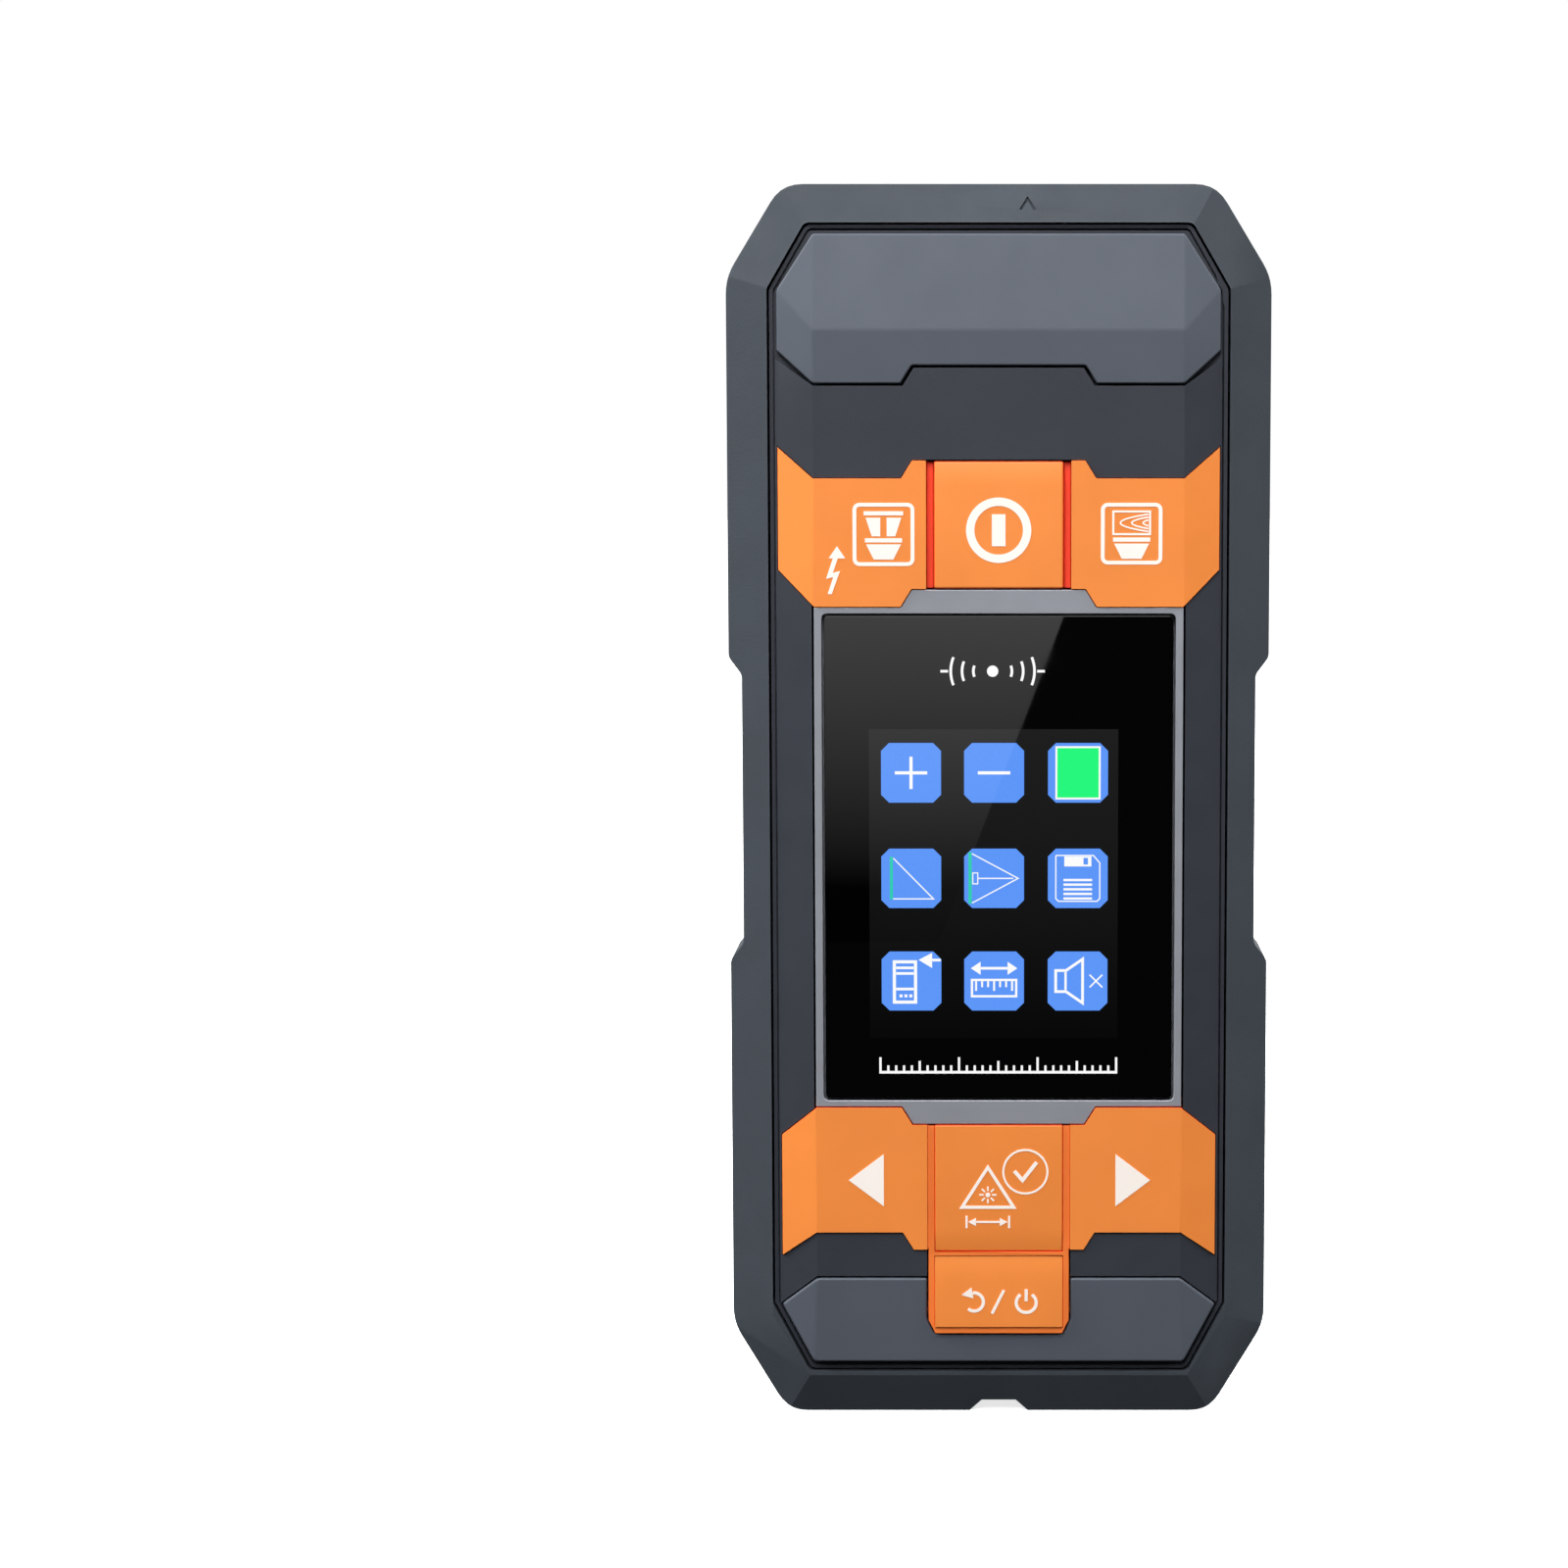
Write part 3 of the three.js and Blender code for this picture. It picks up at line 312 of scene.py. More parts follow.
def straightened(loop: Loop, tolerance: float = 0.002) -> Loop:
    """The loop without the points that lie on a straight line between their neighbours.

    Args:
        loop: A closed loop.
        tolerance: How far off the line a point may lie.

    Returns:
        The points that are left.
    """
    kept = []
    for index, (x, z) in enumerate(loop):
        ax, az = loop[index - 1]
        bx, bz = loop[(index + 1) % len(loop)]
        length = math.hypot(bx - ax, bz - az) or 1
        if abs((bx - ax) * (az - z) - (ax - x) * (bz - az)) / length > tolerance:
            kept.append((x, z))
    return kept


# ---------------------------------------------------------------- mesh work


class Shaper:
    """Gathers closed flat shapes, given as outlines in X and Z, into one mesh."""

    def __init__(self) -> None:
        """Starts with no shapes."""
        self.work = bmesh.new()

    def ring_of(self, loop: Loop, y: float) -> Ring:
        """Adds the vertices of a loop at one depth."""
        return [self.work.verts.new((x * MM, y * MM, z * MM)) for x, z in loop]

    def bridge(self, first: Ring, second: Ring) -> None:
        """Joins two closed rings of vertices with a band of faces.

        Args:
            first: One ring.
            second: The other, with as many vertices.
        """
        count = len(first)
        for index in range(count):
            after = (index + 1) % count
            self.work.faces.new((first[index], first[after], second[after], second[index]))

    def stack(self, *levels: tuple[Loop, float]) -> None:
        """Adds a closed solid that passes through loops at several depths.

        Args:
            levels: Each loop and its Y, all with the same number of points.
        """
        rings = [self.ring_of(loop, y) for loop, y in levels]
        for lower, upper in zip(rings, rings[1:]):
            self.bridge(lower, upper)
        self.work.faces.new(rings[0])
        self.work.faces.new(rings[-1])

    def plate(self, loop: Loop, front: float, back: float) -> None:
        """Adds a flat plate between two depths."""
        self.stack((loop, back), (loop, front))

    def groove(self, loop: Loop, surface: float, depth: float, flare: float = 0.16) -> None:
        """Adds a tool for a groove in a back face, with its rim chamfered.

        Args:
            loop: Outline of the groove.
            surface: Y of the back face.
            depth: Depth of the groove.
            flare: Width of the chamfer.
        """
        wide = inset(loop, -2 * flare)
        self.stack((loop, surface - depth), (loop, surface - flare), (wide, surface + flare))

    def ring(self, outer: Loop, inner: Loop, front: float, back: float) -> None:
        """Adds a flat ring.

        Args:
            outer: Its outer edge.
            inner: Its inner edge, with as many points.
            front: Y of its front.
            back: Y of its back.
        """
        corners = ((outer, front), (outer, back), (inner, back), (inner, front))
        rings = [self.ring_of(loop, y) for loop, y in corners]
        for index, ring in enumerate(rings):
            self.bridge(ring, rings[(index + 1) % len(rings)])

    def line(self, path: Loop, width: float, front: float, back: float) -> None:
        """Adds a line of some width along an open path."""
        self.plate(ribbon(path, width), front, back)

    def outline(self, loop: Loop, width: float, front: float, back: float) -> None:
        """Adds a line of some width that runs round inside a closed loop."""
        self.ring(loop, inset(loop, width), front, back)

    def piece(self, name: str) -> bpy.types.Object:
        """Turns the shapes into one object.

        Args:
            name: Name of the object.

        Returns:
            The object, linked to the scene.
        """
        bmesh.ops.recalc_face_normals(self.work, faces=self.work.faces)
        return linked(name, self.work)


@dataclass
class Pen:
    """Draws flat marks of one thickness, round an origin of its own, into one mesh.

    Attributes:
        front: Y of the front of the marks.
        back: Y of the back of the marks.
        shapes: The mesh that the marks go into.
        x: Origin of the pen.
        z: Origin of the pen.
    """

    front: float
    back: float
    shapes: Shaper = field(default_factory=Shaper)
    x: float = 0
    z: float = 0

    def at(self, x: float, z: float) -> "Pen":
        """The same pen with its origin moved by X and Z."""
        return replace(self, x=self.x + x, z=self.z + z)

    def fill(self, loop: Loop) -> None:
        """Draws a filled shape."""
        self.shapes.plate(moved(loop, self.x, self.z), self.front, self.back)

    def line(self, path: Loop, width: float) -> None:
        """Draws an open line."""
        self.fill(ribbon(path, width))

    def ring(self, outer: Loop, inner: Loop) -> None:
        """Fills the space between two loops."""
        loops = [moved(loop, self.x, self.z) for loop in (outer, inner)]
        self.shapes.ring(*loops, self.front, self.back)

    def outline(self, loop: Loop, width: float) -> None:
        """Draws a line round the inside of a closed loop."""
        self.ring(loop, inset(loop, width))


def linked(name: str, work: bmesh.types.BMesh) -> bpy.types.Object:
    """Makes an object of a working mesh, and frees the working mesh.

    Args:
        name: Name of the object.
        work: The working mesh.

    Returns:
        The object, linked to the scene.
    """
    mesh = bpy.data.meshes.new(name)
    work.to_mesh(mesh)
    work.free()
    piece = bpy.data.objects.new(name, mesh)
    bpy.context.scene.collection.objects.link(piece)
    return piece


def settled(piece: bpy.types.Object) -> bpy.types.Object:
    """Applies a piece's modifiers to its mesh.

    Args:
        piece: The piece.

    Returns:
        The same piece.
    """
    shape = piece.evaluated_get(bpy.context.evaluated_depsgraph_get())
    mesh = bpy.data.meshes.new_from_object(shape)
    piece.modifiers.clear()
    piece.data = mesh
    return piece


def moulding(node: str, name: str) -> bpy.types.Object:
    """Copy of a CAD node's shape with whole flat faces, ready for edges and details.

    Args:
        node: The CAD node to copy.
        name: Name of the new piece.

    Returns:
        The new piece. The CAD node is hidden.
    """
    work = bmesh.new()
    work.from_mesh(frame["nodes"][node].data)
    bmesh.ops.remove_doubles(work, verts=work.verts, dist=WELD)
    limit = math.radians(FLAT_DEGREES)
    bmesh.ops.dissolve_limit(work, angle_limit=limit, verts=work.verts, edges=work.edges)
    piece = linked(name, work)
    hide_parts(node)
    return piece


def carve(piece: bpy.types.Object, tools: Shaper) -> None:
    """Cuts shapes out of a piece whose edges are round already.

    Args:
        piece: The piece.
        tools: The shapes to cut out.
    """
    tool = tools.piece("tool")
    modifier = piece.modifiers.new("carve", "BOOLEAN")
    modifier.object = tool
    modifier.operation = "DIFFERENCE"
    modifier.solver = "MANIFOLD"
    settled(piece)
    bpy.data.objects.remove(tool)
    shade(piece)


def soften(piece: bpy.types.Object, width: float, angle: float = 17, segments: int = 3) -> None:
    """Rounds the edges of a piece and shades it smoothly.

    Args:
        piece: The piece.
        width: Width of the rounding.
        angle: Edges sharper than this many degrees are rounded.
        segments: Steps across the rounding.
    """
    modifier = piece.modifiers.new("soften", "BEVEL")
    modifier.width = width * MM
    modifier.segments = segments
    modifier.limit_method = "ANGLE"
    modifier.angle_limit = math.radians(angle)
    modifier.miter_outer = "MITER_ARC"
    settled(piece)
    shade(piece)


def shade(piece: bpy.types.Object) -> None:
    """Shades round edges smoothly, and keeps flat faces flat and sharp edges sharp.

    Args:
        piece: The piece.
    """
    piece.data.shade_smooth()
    piece.data.set_sharp_from_angle(angle=math.radians(SHARP_DEGREES))
    modifier = piece.modifiers.new("shading", "WEIGHTED_NORMAL")
    modifier.mode = "FACE_AREA"
    modifier.weight = 100
    modifier.keep_sharp = True
    settled(piece)


def fattened(piece: bpy.types.Object, amount: float, behind: float) -> None:
    """Moves the walls of a piece outwards in X and Z, where they stand in front of a depth.

    Args:
        piece: The piece.
        amount: How far its walls move.
        behind: Y behind which nothing moves.
    """
    upright, same = 0.1, 0.999
    work = bmesh.new()
    work.from_mesh(piece.data)
    moves = {}
    for vertex in work.verts:
        walls: list[Vector] = []
        for face in vertex.link_faces:
            known = any(face.normal.dot(wall) >= same for wall in walls)
            if abs(face.normal.y) < upright and not known:
                walls.append(face.normal.copy())
        if walls and vertex.co.y / MM < behind:
            spread = 1 + walls[0].dot(walls[-1]) if len(walls) > 1 else 1
            moves[vertex] = sum(walls[:2], Vector()) / spread * amount * MM
    for vertex, move in moves.items():
        vertex.co += Vector((move.x, 0, move.z))
    work.to_mesh(piece.data)
    work.free()


class Surface:
    """Finds where straight lines along Y meet the outside of a piece."""

    def __init__(self, piece: bpy.types.Object) -> None:
        """Takes the shape of a piece as it is now.

        Args:
            piece: The piece.
        """
        work = bmesh.new()
        work.from_mesh(piece.data)
        self.tree = BVHTree.FromBMesh(work)
        work.free()

    def front(self, x: float, z: float) -> float:
        """Y where a line from the front at X and Z first meets the piece."""
        hit = self.tree.ray_cast(Vector((x * MM, -1, z * MM)), Vector((0, 1, 0)))[0]
        return hit.y / MM


def span(node: str) -> tuple[Vector, Vector]:
    """Lowest and highest corner of a CAD node, in millimetres."""
    low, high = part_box(node)
    return low / MM, high / MM


def middle_of(node: str) -> Vector:
    """Middle of a CAD node, in millimetres."""
    low, high = span(node)
    return (low + high) / 2


def body_of(node: str) -> str:
    """Name of the body that a CAD node rides on."""
    return frame["nodes"][node]["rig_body"]


def fitted(piece: bpy.types.Object, body: str, finish: "Look") -> bpy.types.Object:
    """Gives a piece its body and its finish, and reports it.

    Args:
        piece: The finished piece.
        body: The body that it rides on.
        finish: Its finish.

    Returns:
        The piece.
    """
    piece.data.materials.clear()
    piece.data.materials.append(finish.material())
    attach(piece, body)
    log.info("%s rides on %s, %d faces", piece.name, body, len(piece.data.polygons))
    return piece


# ---------------------------------------------------------------- finishes


class Nodes:
    """Short ways to add and join the nodes of one material."""

    def __init__(self, name: str) -> None:
        """Makes an empty node material.

        Args:
            name: Name of the material.
        """
        self.material = bpy.data.materials.new(name)
        self.material.use_nodes = True
        self.tree = self.material.node_tree
        self.tree.nodes.clear()
        self.shader = self.add("BsdfPrincipled")
        self.join(self.shader.outputs["BSDF"], self.add("OutputMaterial").inputs["Surface"])
        self.place = self.add("TexCoord").outputs["Object"]

    def add(self, kind: str) -> bpy.types.ShaderNode:
        """Adds one shader node."""
        return self.tree.nodes.new(f"ShaderNode{kind}")

    def join(self, source: Socket, target: Socket) -> None:
        """Links two sockets."""
        self.tree.links.new(source, target)

    def set(self, name: str, value: float | Colour) -> None:
        """Sets a constant number or colour on one of the shader's own sockets."""
        self.shader.inputs[name].default_value = (*value, 1) if isinstance(value, tuple) else value

    def feed(self, name: str, source: Socket) -> None:
        """Links a socket to one of the shader's own sockets."""
        self.join(source, self.shader.inputs[name])

    def noise(self, size: float, detail: float = 3, stretch: Vector | None = None) -> Socket:
        """Adds noise.

        Args:
            size: Size of its grains.
            detail: Number of finer layers.
            stretch: Scale along each axis.

        Returns:
            The socket with the noise, from 0 to 1.
        """
        node = self.add("TexNoise")
        node.inputs["Scale"].default_value = 1 / (size * MM)
        node.inputs["Detail"].default_value = detail
        self.join(self.stretched(stretch) if stretch else self.place, node.inputs["Vector"])
        return node.outputs["Fac"]

    def stretched(self, scale: Vector) -> Socket:
        """Scales the object coordinates.

        Args:
            scale: Scale along each axis.

        Returns:
            The socket with the scaled coordinates.
        """
        node = self.add("Mapping")
        node.inputs["Scale"].default_value = scale
        self.join(self.place, node.inputs["Vector"])
        return node.outputs["Vector"]

    def span(self, value: Socket, source: Point, target: Point = FULL) -> Socket:
        """Maps one range of values to another, clamped.

        Args:
            value: The socket with the value.
            source: Range that the value comes in.
            target: Range that it leaves in.

        Returns:
            The socket with the mapped value.
        """
        node = self.add("MapRange")
        limits = ("From Min", "From Max", "To Min", "To Max")
        for name, limit in zip(limits, (*source, *target)):
            node.inputs[name].default_value = limit
        self.join(value, node.inputs["Value"])
        return node.outputs["Result"]

    def product(self, first: Socket, second: Socket | float) -> Socket:
        """Multiplies two values.

        Args:
            first: The socket with the first value.
            second: The second value, or its socket.

        Returns:
            The socket with the product.
        """
        node = self.add("Math")
        node.operation = "MULTIPLY"
        self.join(first, node.inputs[0])
        if isinstance(second, Socket):
            self.join(second, node.inputs[1])
        else:
            node.inputs[1].default_value = second
        return node.outputs["Value"]

    def blend(self, share: Socket, first: Socket | Colour, second: Socket | Colour) -> Socket:
        """Mixes two colours.

        Args:
            share: The socket with the share of the second colour.
            first: A linear colour, or its socket.
            second: A linear colour, or its socket.

        Returns:
            The socket with the mixed colour.
        """
        node = self.add("Mix")
        node.data_type = "RGBA"
        self.join(share, node.inputs["Factor"])
        ends = (socket for socket in node.inputs if socket.type == "RGBA")
        for socket, value in zip(ends, (first, second)):
            if isinstance(value, Socket):
                self.join(value, socket)
            else:
                socket.default_value = (*value, 1)
        return next(socket for socket in node.outputs if socket.type == "RGBA")

    def edges(self, radius: float, limits: Point = (0.995, 0.8)) -> Socket:
        """Finds sharp edges, by rounding the normals.

        Args:
            radius: Width of the edges.
            limits: Cosines of the turn where an edge starts, and where it is full.

        Returns:
            The socket with the share of edge, from 0 to 1.
        """
        bevel = self.add("Bevel")
        bevel.samples = 4
        bevel.inputs["Radius"].default_value = radius * MM
        geometry = self.add("NewGeometry")
        turn = self.add("VectorMath")
        turn.operation = "DOT_PRODUCT"
        self.join(bevel.outputs["Normal"], turn.inputs[0])
        self.join(geometry.outputs["Normal"], turn.inputs[1])
        return self.span(turn.outputs["Value"], limits)

    def sideways(self, limits: Point) -> Socket:
        """Finds faces that turn away from the front.

        Args:
            limits: Cosines of the turn where the share starts, and where it is full.

        Returns:
            The socket with the share, from 0 to 1.
        """
        parts = self.add("SeparateXYZ")
        self.join(self.place.node.outputs["Normal"], parts.inputs["Vector"])
        return self.span(self.product(parts.outputs["Y"], -1), limits)

    def height(self) -> Socket:
        """Finds the height of a point.

        Returns:
            The socket with its Z, in metres.
        """
        node = self.add("SeparateXYZ")
        self.join(self.place, node.inputs["Vector"])
        return node.outputs["Z"]

    def bump(self, height: Socket, depth: float) -> None:
        """Raises the surface by a height from 0 to 1.

        Args:
            height: The socket with the height.
            depth: Depth of a height of 1.
        """
        node = self.add("Bump")
        node.inputs["Distance"].default_value = depth * MM
        self.join(height, node.inputs["Height"])
        self.feed("Normal", node.outputs["Normal"])


def linear(colour: int) -> Colour:
    """Linear colour of a hexadecimal one."""
    parts = [(colour >> shift & 255) / 255 for shift in (16, 8, 0)]
    return tuple(c / 12.92 if c <= 0.04045 else ((c + 0.055) / 1.055) ** 2.4 for c in parts)


def tinted(colour: Colour, factor: float) -> Colour:
    """A linear colour made lighter or darker."""
    return tuple(min(part * factor, 1) for part in colour)


MIDDLE = (0.3, 0.7)
NARROW = (0.35, 0.65)
PATCH_SIZE = 9
SMEAR_SIZE = 5
# Spot size, width and tint of the lightened edges: partly rubbed wear, partly a painted highlight.
EDGE_SPOT_SIZE = 2.5
EDGE_WEAR_HIGHLIGHT_WIDTH = 0.35
EDGE_WEAR_HIGHLIGHT_TINT = 2.2
# Turn of the walls that get the painted glow and shade of the rim colour.
PAINTED_GLOW_TURN = (0.93, 0.72)
COAT_ROUGHNESS = 0.12
GLASS_IOR = 1.5
ROW_SIZE = 0.16
ROWS = Vector((1, 1, 6))
BRUSHING = Vector((1, 1, 0.04))


@dataclass(frozen=True)
class Look:
    """What every finish has.

    Attributes:
        name: Name of the material.
        colour: Its colour, as a hexadecimal number.
    """

    name: str
    colour: int

    def material(self) -> bpy.types.Material:
        """Makes the material once, and returns it."""
        return bpy.data.materials.get(self.name) or self.made()

    def made(self) -> bpy.types.Material:
        """Builds the node material; each kind of finish has its own."""
        raise NotImplementedError


@dataclass(frozen=True)
class Finish(Look):
    """Finish of one moulded, metal or painted surface.

    Attributes:
        roughness: Middle roughness.
        metallic: 1 for metal.
        grain: Size of the fine grain.
        depth: Depth of the fine grain.
        mottle: How much the colour varies.
        edge_wear_and_highlight: How much lighter sharp edges are, as rubbed wear and a painted
            highlight.
        gloss: Specular level.
        coat: Weight of a clear coat.
        brushed: Stretches the grain along Z, as brushing does.
        rim: Colour of a painted glow and shade on the walls that turn away from the front,
            standing in for light through thin rubber and shade in the gaps.
    """

    roughness: float
    metallic: float = 0
    grain: float = 0.22
    depth: float = 0.012
    mottle: float = 0.06
    edge_wear_and_highlight: float = 0.5
    gloss: float = 0.5
    coat: float = 0
    brushed: bool = False
    rim: int | None = None

    def made(self) -> bpy.types.Material:
        """Builds the node material.

        Returns:
            The material.
        """
        nodes = Nodes(self.name)
        nodes.set("Metallic", self.metallic)
        nodes.set("Specular IOR Level", self.gloss)
        nodes.set("Coat Weight", self.coat)
        nodes.set("Coat Roughness", COAT_ROUGHNESS)
        nodes.feed("Base Color", self.shade(nodes))
        smears = nodes.noise(SMEAR_SIZE, 5)
        rough = (self.roughness - 0.05, self.roughness + 0.06)
        nodes.feed("Roughness", nodes.span(smears, MIDDLE, rough))
        nodes.bump(nodes.noise(self.grain, 2, BRUSHING if self.brushed else None), self.depth)
        return nodes.material

    def shade(self, nodes: Nodes) -> Socket:
        """Builds the colour: mottled, lighter on sharp edges as rubbed wear and a painted
        highlight, and with a painted glow and shade on walls that turn away from the front.

        Args:
            nodes: The material's nodes.

        Returns:
            The socket with the colour.
        """
        base = linear(self.colour)
        patches = nodes.span(nodes.noise(PATCH_SIZE, 4), MIDDLE)
        shade = nodes.blend(patches, tinted(base, 1 - self.mottle), tinted(base, 1 + self.mottle))
        # Sharp edges are lightened in spots: partly rubbed wear, partly a painted highlight.
        spots = nodes.span(nodes.noise(EDGE_SPOT_SIZE), NARROW)
        rubbed_and_highlit = nodes.product(nodes.product(nodes.edges(EDGE_WEAR_HIGHLIGHT_WIDTH), spots), self.edge_wear_and_highlight)
        shade = nodes.blend(rubbed_and_highlit, shade, tinted(base, EDGE_WEAR_HIGHLIGHT_TINT))
        # Painted glow and shade: walls turned away from the front are painted a deeper red.
        if self.rim is not None:
            shade = nodes.blend(nodes.sideways(PAINTED_GLOW_TURN), shade, linear(self.rim))
        return shade


@dataclass(frozen=True)
class Glow(Look):
    """Finish of lit marks on the display, bright by themselves behind glossy glass.

    Attributes:
        fade: Heights between which the light grows from nothing to full.
    """

    fade: Point | None = None

    def made(self) -> bpy.types.Material:
        """Builds the node material, with the fine rows of a display.

        Returns:
            The material.
        """
        nodes = Nodes(self.name)
        nodes.set("Base Color", (0.002, 0.002, 0.002))
        nodes.set("Roughness", 0.015)
        nodes.set("Emission Strength", 1)
        light = linear(self.colour)
        rows = nodes.span(nodes.noise(ROW_SIZE, 0, ROWS), NARROW)
        glow = nodes.blend(rows, tinted(light, 0.94), tinted(light, 1.03))
        if self.fade:
            low, high = self.fade
            glow = nodes.blend(nodes.span(nodes.height(), (low * MM, high * MM)), BLACK, glow)
        nodes.feed("Emission Color", glow)
        return nodes.material


@dataclass(frozen=True)
class Clear(Look):
    """Finish of a glass or tinted clear plastic piece.

    Attributes:
        see_through: Weight of transmission.
        roughness: Lowest roughness.
    """

    see_through: float
    roughness: float = 0.012

    def made(self) -> bpy.types.Material:
        """Builds the node material, with a little dust and slight smears.

        Returns:
            The material.
        """
        nodes = Nodes(self.name)
        nodes.set("Transmission Weight", self.see_through)
        nodes.set("IOR", GLASS_IOR)
        base = linear(self.colour)
        dust = nodes.span(nodes.noise(0.6, 6), (0.62, 0.8))
        nodes.feed("Base Color", nodes.blend(dust, base, tinted(base, 1.6)))
        rough = (self.roughness, self.roughness + 0.02)
        nodes.feed("Roughness", nodes.span(nodes.noise(7, 5), (0.35, 0.7), rough))
        nodes.bump(nodes.noise(14, 1), 0.004)
        return nodes.material


RUBBER = Finish("bumper_rubber", 0x3B4148, 0.66, grain=0.28, depth=0.02, edge_wear_and_highlight=0.3, gloss=0.28)
PANEL = Finish("panel_plastic", 0x2F333B, 0.55, grain=0.2, edge_wear_and_highlight=0.35, gloss=0.35)
CAP = Finish(
    "cap_plastic", 0x535963, 0.55, grain=0.2, depth=0.01, mottle=0.03, edge_wear_and_highlight=0.35, gloss=0.35
)
# The rim colour on the key rubber is a painted glow and shade on its walls.
ORANGE = Finish(
    "key_rubber", 0xF08A3C, 0.5, grain=0.18, depth=0.008, mottle=0.03, edge_wear_and_highlight=0, gloss=0.4,
    rim=0xEE4416,
)
# Deeper, more saturated copy of the key rubber for the lower web: painted shade in its shallow
# grooves; its rim colour is a painted glow and shade too.
GROOVE_SHADE_ORANGE = Finish(
    "key_mat_rubber", 0xF47C30, 0.55, grain=0.2, depth=0.01, mottle=0.04, edge_wear_and_highlight=0, rim=0xEE4416
)
# Deeper red copy of the key rubber for the upper web: painted shade and glow of the deep grooves
# between the keys.
GROOVE_SHADE_RED = Finish("mat_rubber", 0xF2421C, 0.6, grain=0.2, depth=0.01, mottle=0.05, edge_wear_and_highlight=0)
SILVER = Finish(
    "silver_paint", 0x999CA4, 0.42, 0.3, grain=0.09, depth=0.006, mottle=0.03, edge_wear_and_highlight=0.2
)
PRINT = Finish("white_print", 0xFFF4EC, 0.55, grain=0.12, depth=0.004, mottle=0.02, edge_wear_and_highlight=0)
WHITE_PLASTIC = Finish("white_plastic", 0xD9DBD8, 0.5, edge_wear_and_highlight=0.1)
BLACK_PLASTIC = Finish("black_plastic", 0x1B1C1F, 0.5)
BOARD = Finish(
    "board_lacquer", 0x1F5C3A, 0.4, grain=0.4, depth=0.01, mottle=0.12, edge_wear_and_highlight=0.2, coat=0.4
)
BRASS = Finish("turned_brass", 0xB5904A, 0.3, 1, grain=0.1, depth=0.004, edge_wear_and_highlight=0.2, brushed=True)
COPPER = Finish("copper_wire", 0xB87348, 0.3, 1, grain=0.12, depth=0.004, edge_wear_and_highlight=0.2)
STEEL = Finish("plated_steel", 0xAEB1B5, 0.3, 1, grain=0.1, depth=0.004, edge_wear_and_highlight=0.2, brushed=True)
SHELL = Finish("shell_plastic", 0x30333A, 0.52, grain=0.3, depth=0.03)
FELT = Finish("pad_foam", 0x232529, 0.9, grain=0.35, depth=0.1, mottle=0.2, edge_wear_and_highlight=0)
CELL_WRAP = Finish(
    "cell_wrap", 0x2B2E35, 0.3, grain=0.5, depth=0.003, mottle=0.04, edge_wear_and_highlight=0.2, coat=0.5
)
CELL_BAND = Finish(
    "cell_band", 0xC07A2E, 0.3, 0.6, grain=0.5, depth=0.003, mottle=0.04, edge_wear_and_highlight=0.2, coat=0.5
)
DARK_DISPLAY = Finish("display_layer", 0x121418, 0.2, edge_wear_and_highlight=0)
BLACK_GLASS = Clear("screen_glass", 0x020203, 0)
LENS_GLASS = Clear("lens_glass", 0xDCE8F0, 0.95)
RED_WINDOW = Clear("end_window_tint", 0x7A1410, 0.7)
LIT_WHITE = Glow("lit_white", 0xFFFFFF)
LIT_BLUE = Glow("lit_blue", 0x5D97F9)
LIT_GREEN = Glow("lit_green", 0x24F97D)
LIT_TEAL = Glow("lit_teal", 0x2FCFAE)
LIT_PANEL = Glow("lit_panel", 0x1B1B1B, fade=(53, 93))

SLOT_FINISHES = {
    "bumper": RUBBER,
    "panel": PANEL,
    "cap": CAP,
    "key": ORANGE,
    "keymat": GROOVE_SHADE_RED,
    "silver": SILVER,
    "glass": BLACK_GLASS,
    "display": DARK_DISPLAY,
    "white_plastic": WHITE_PLASTIC,
    "black_plastic": BLACK_PLASTIC,
    "circuit_board": BOARD,
    "brass": BRASS,
    "lens": LENS_GLASS,
    "window": RED_WINDOW,
    "copper": COPPER,
    "steel": STEEL,
    "battery": CELL_WRAP,
    "shell": SHELL,
    "felt": FELT,
}


# ---------------------------------------------------------------- outer frame


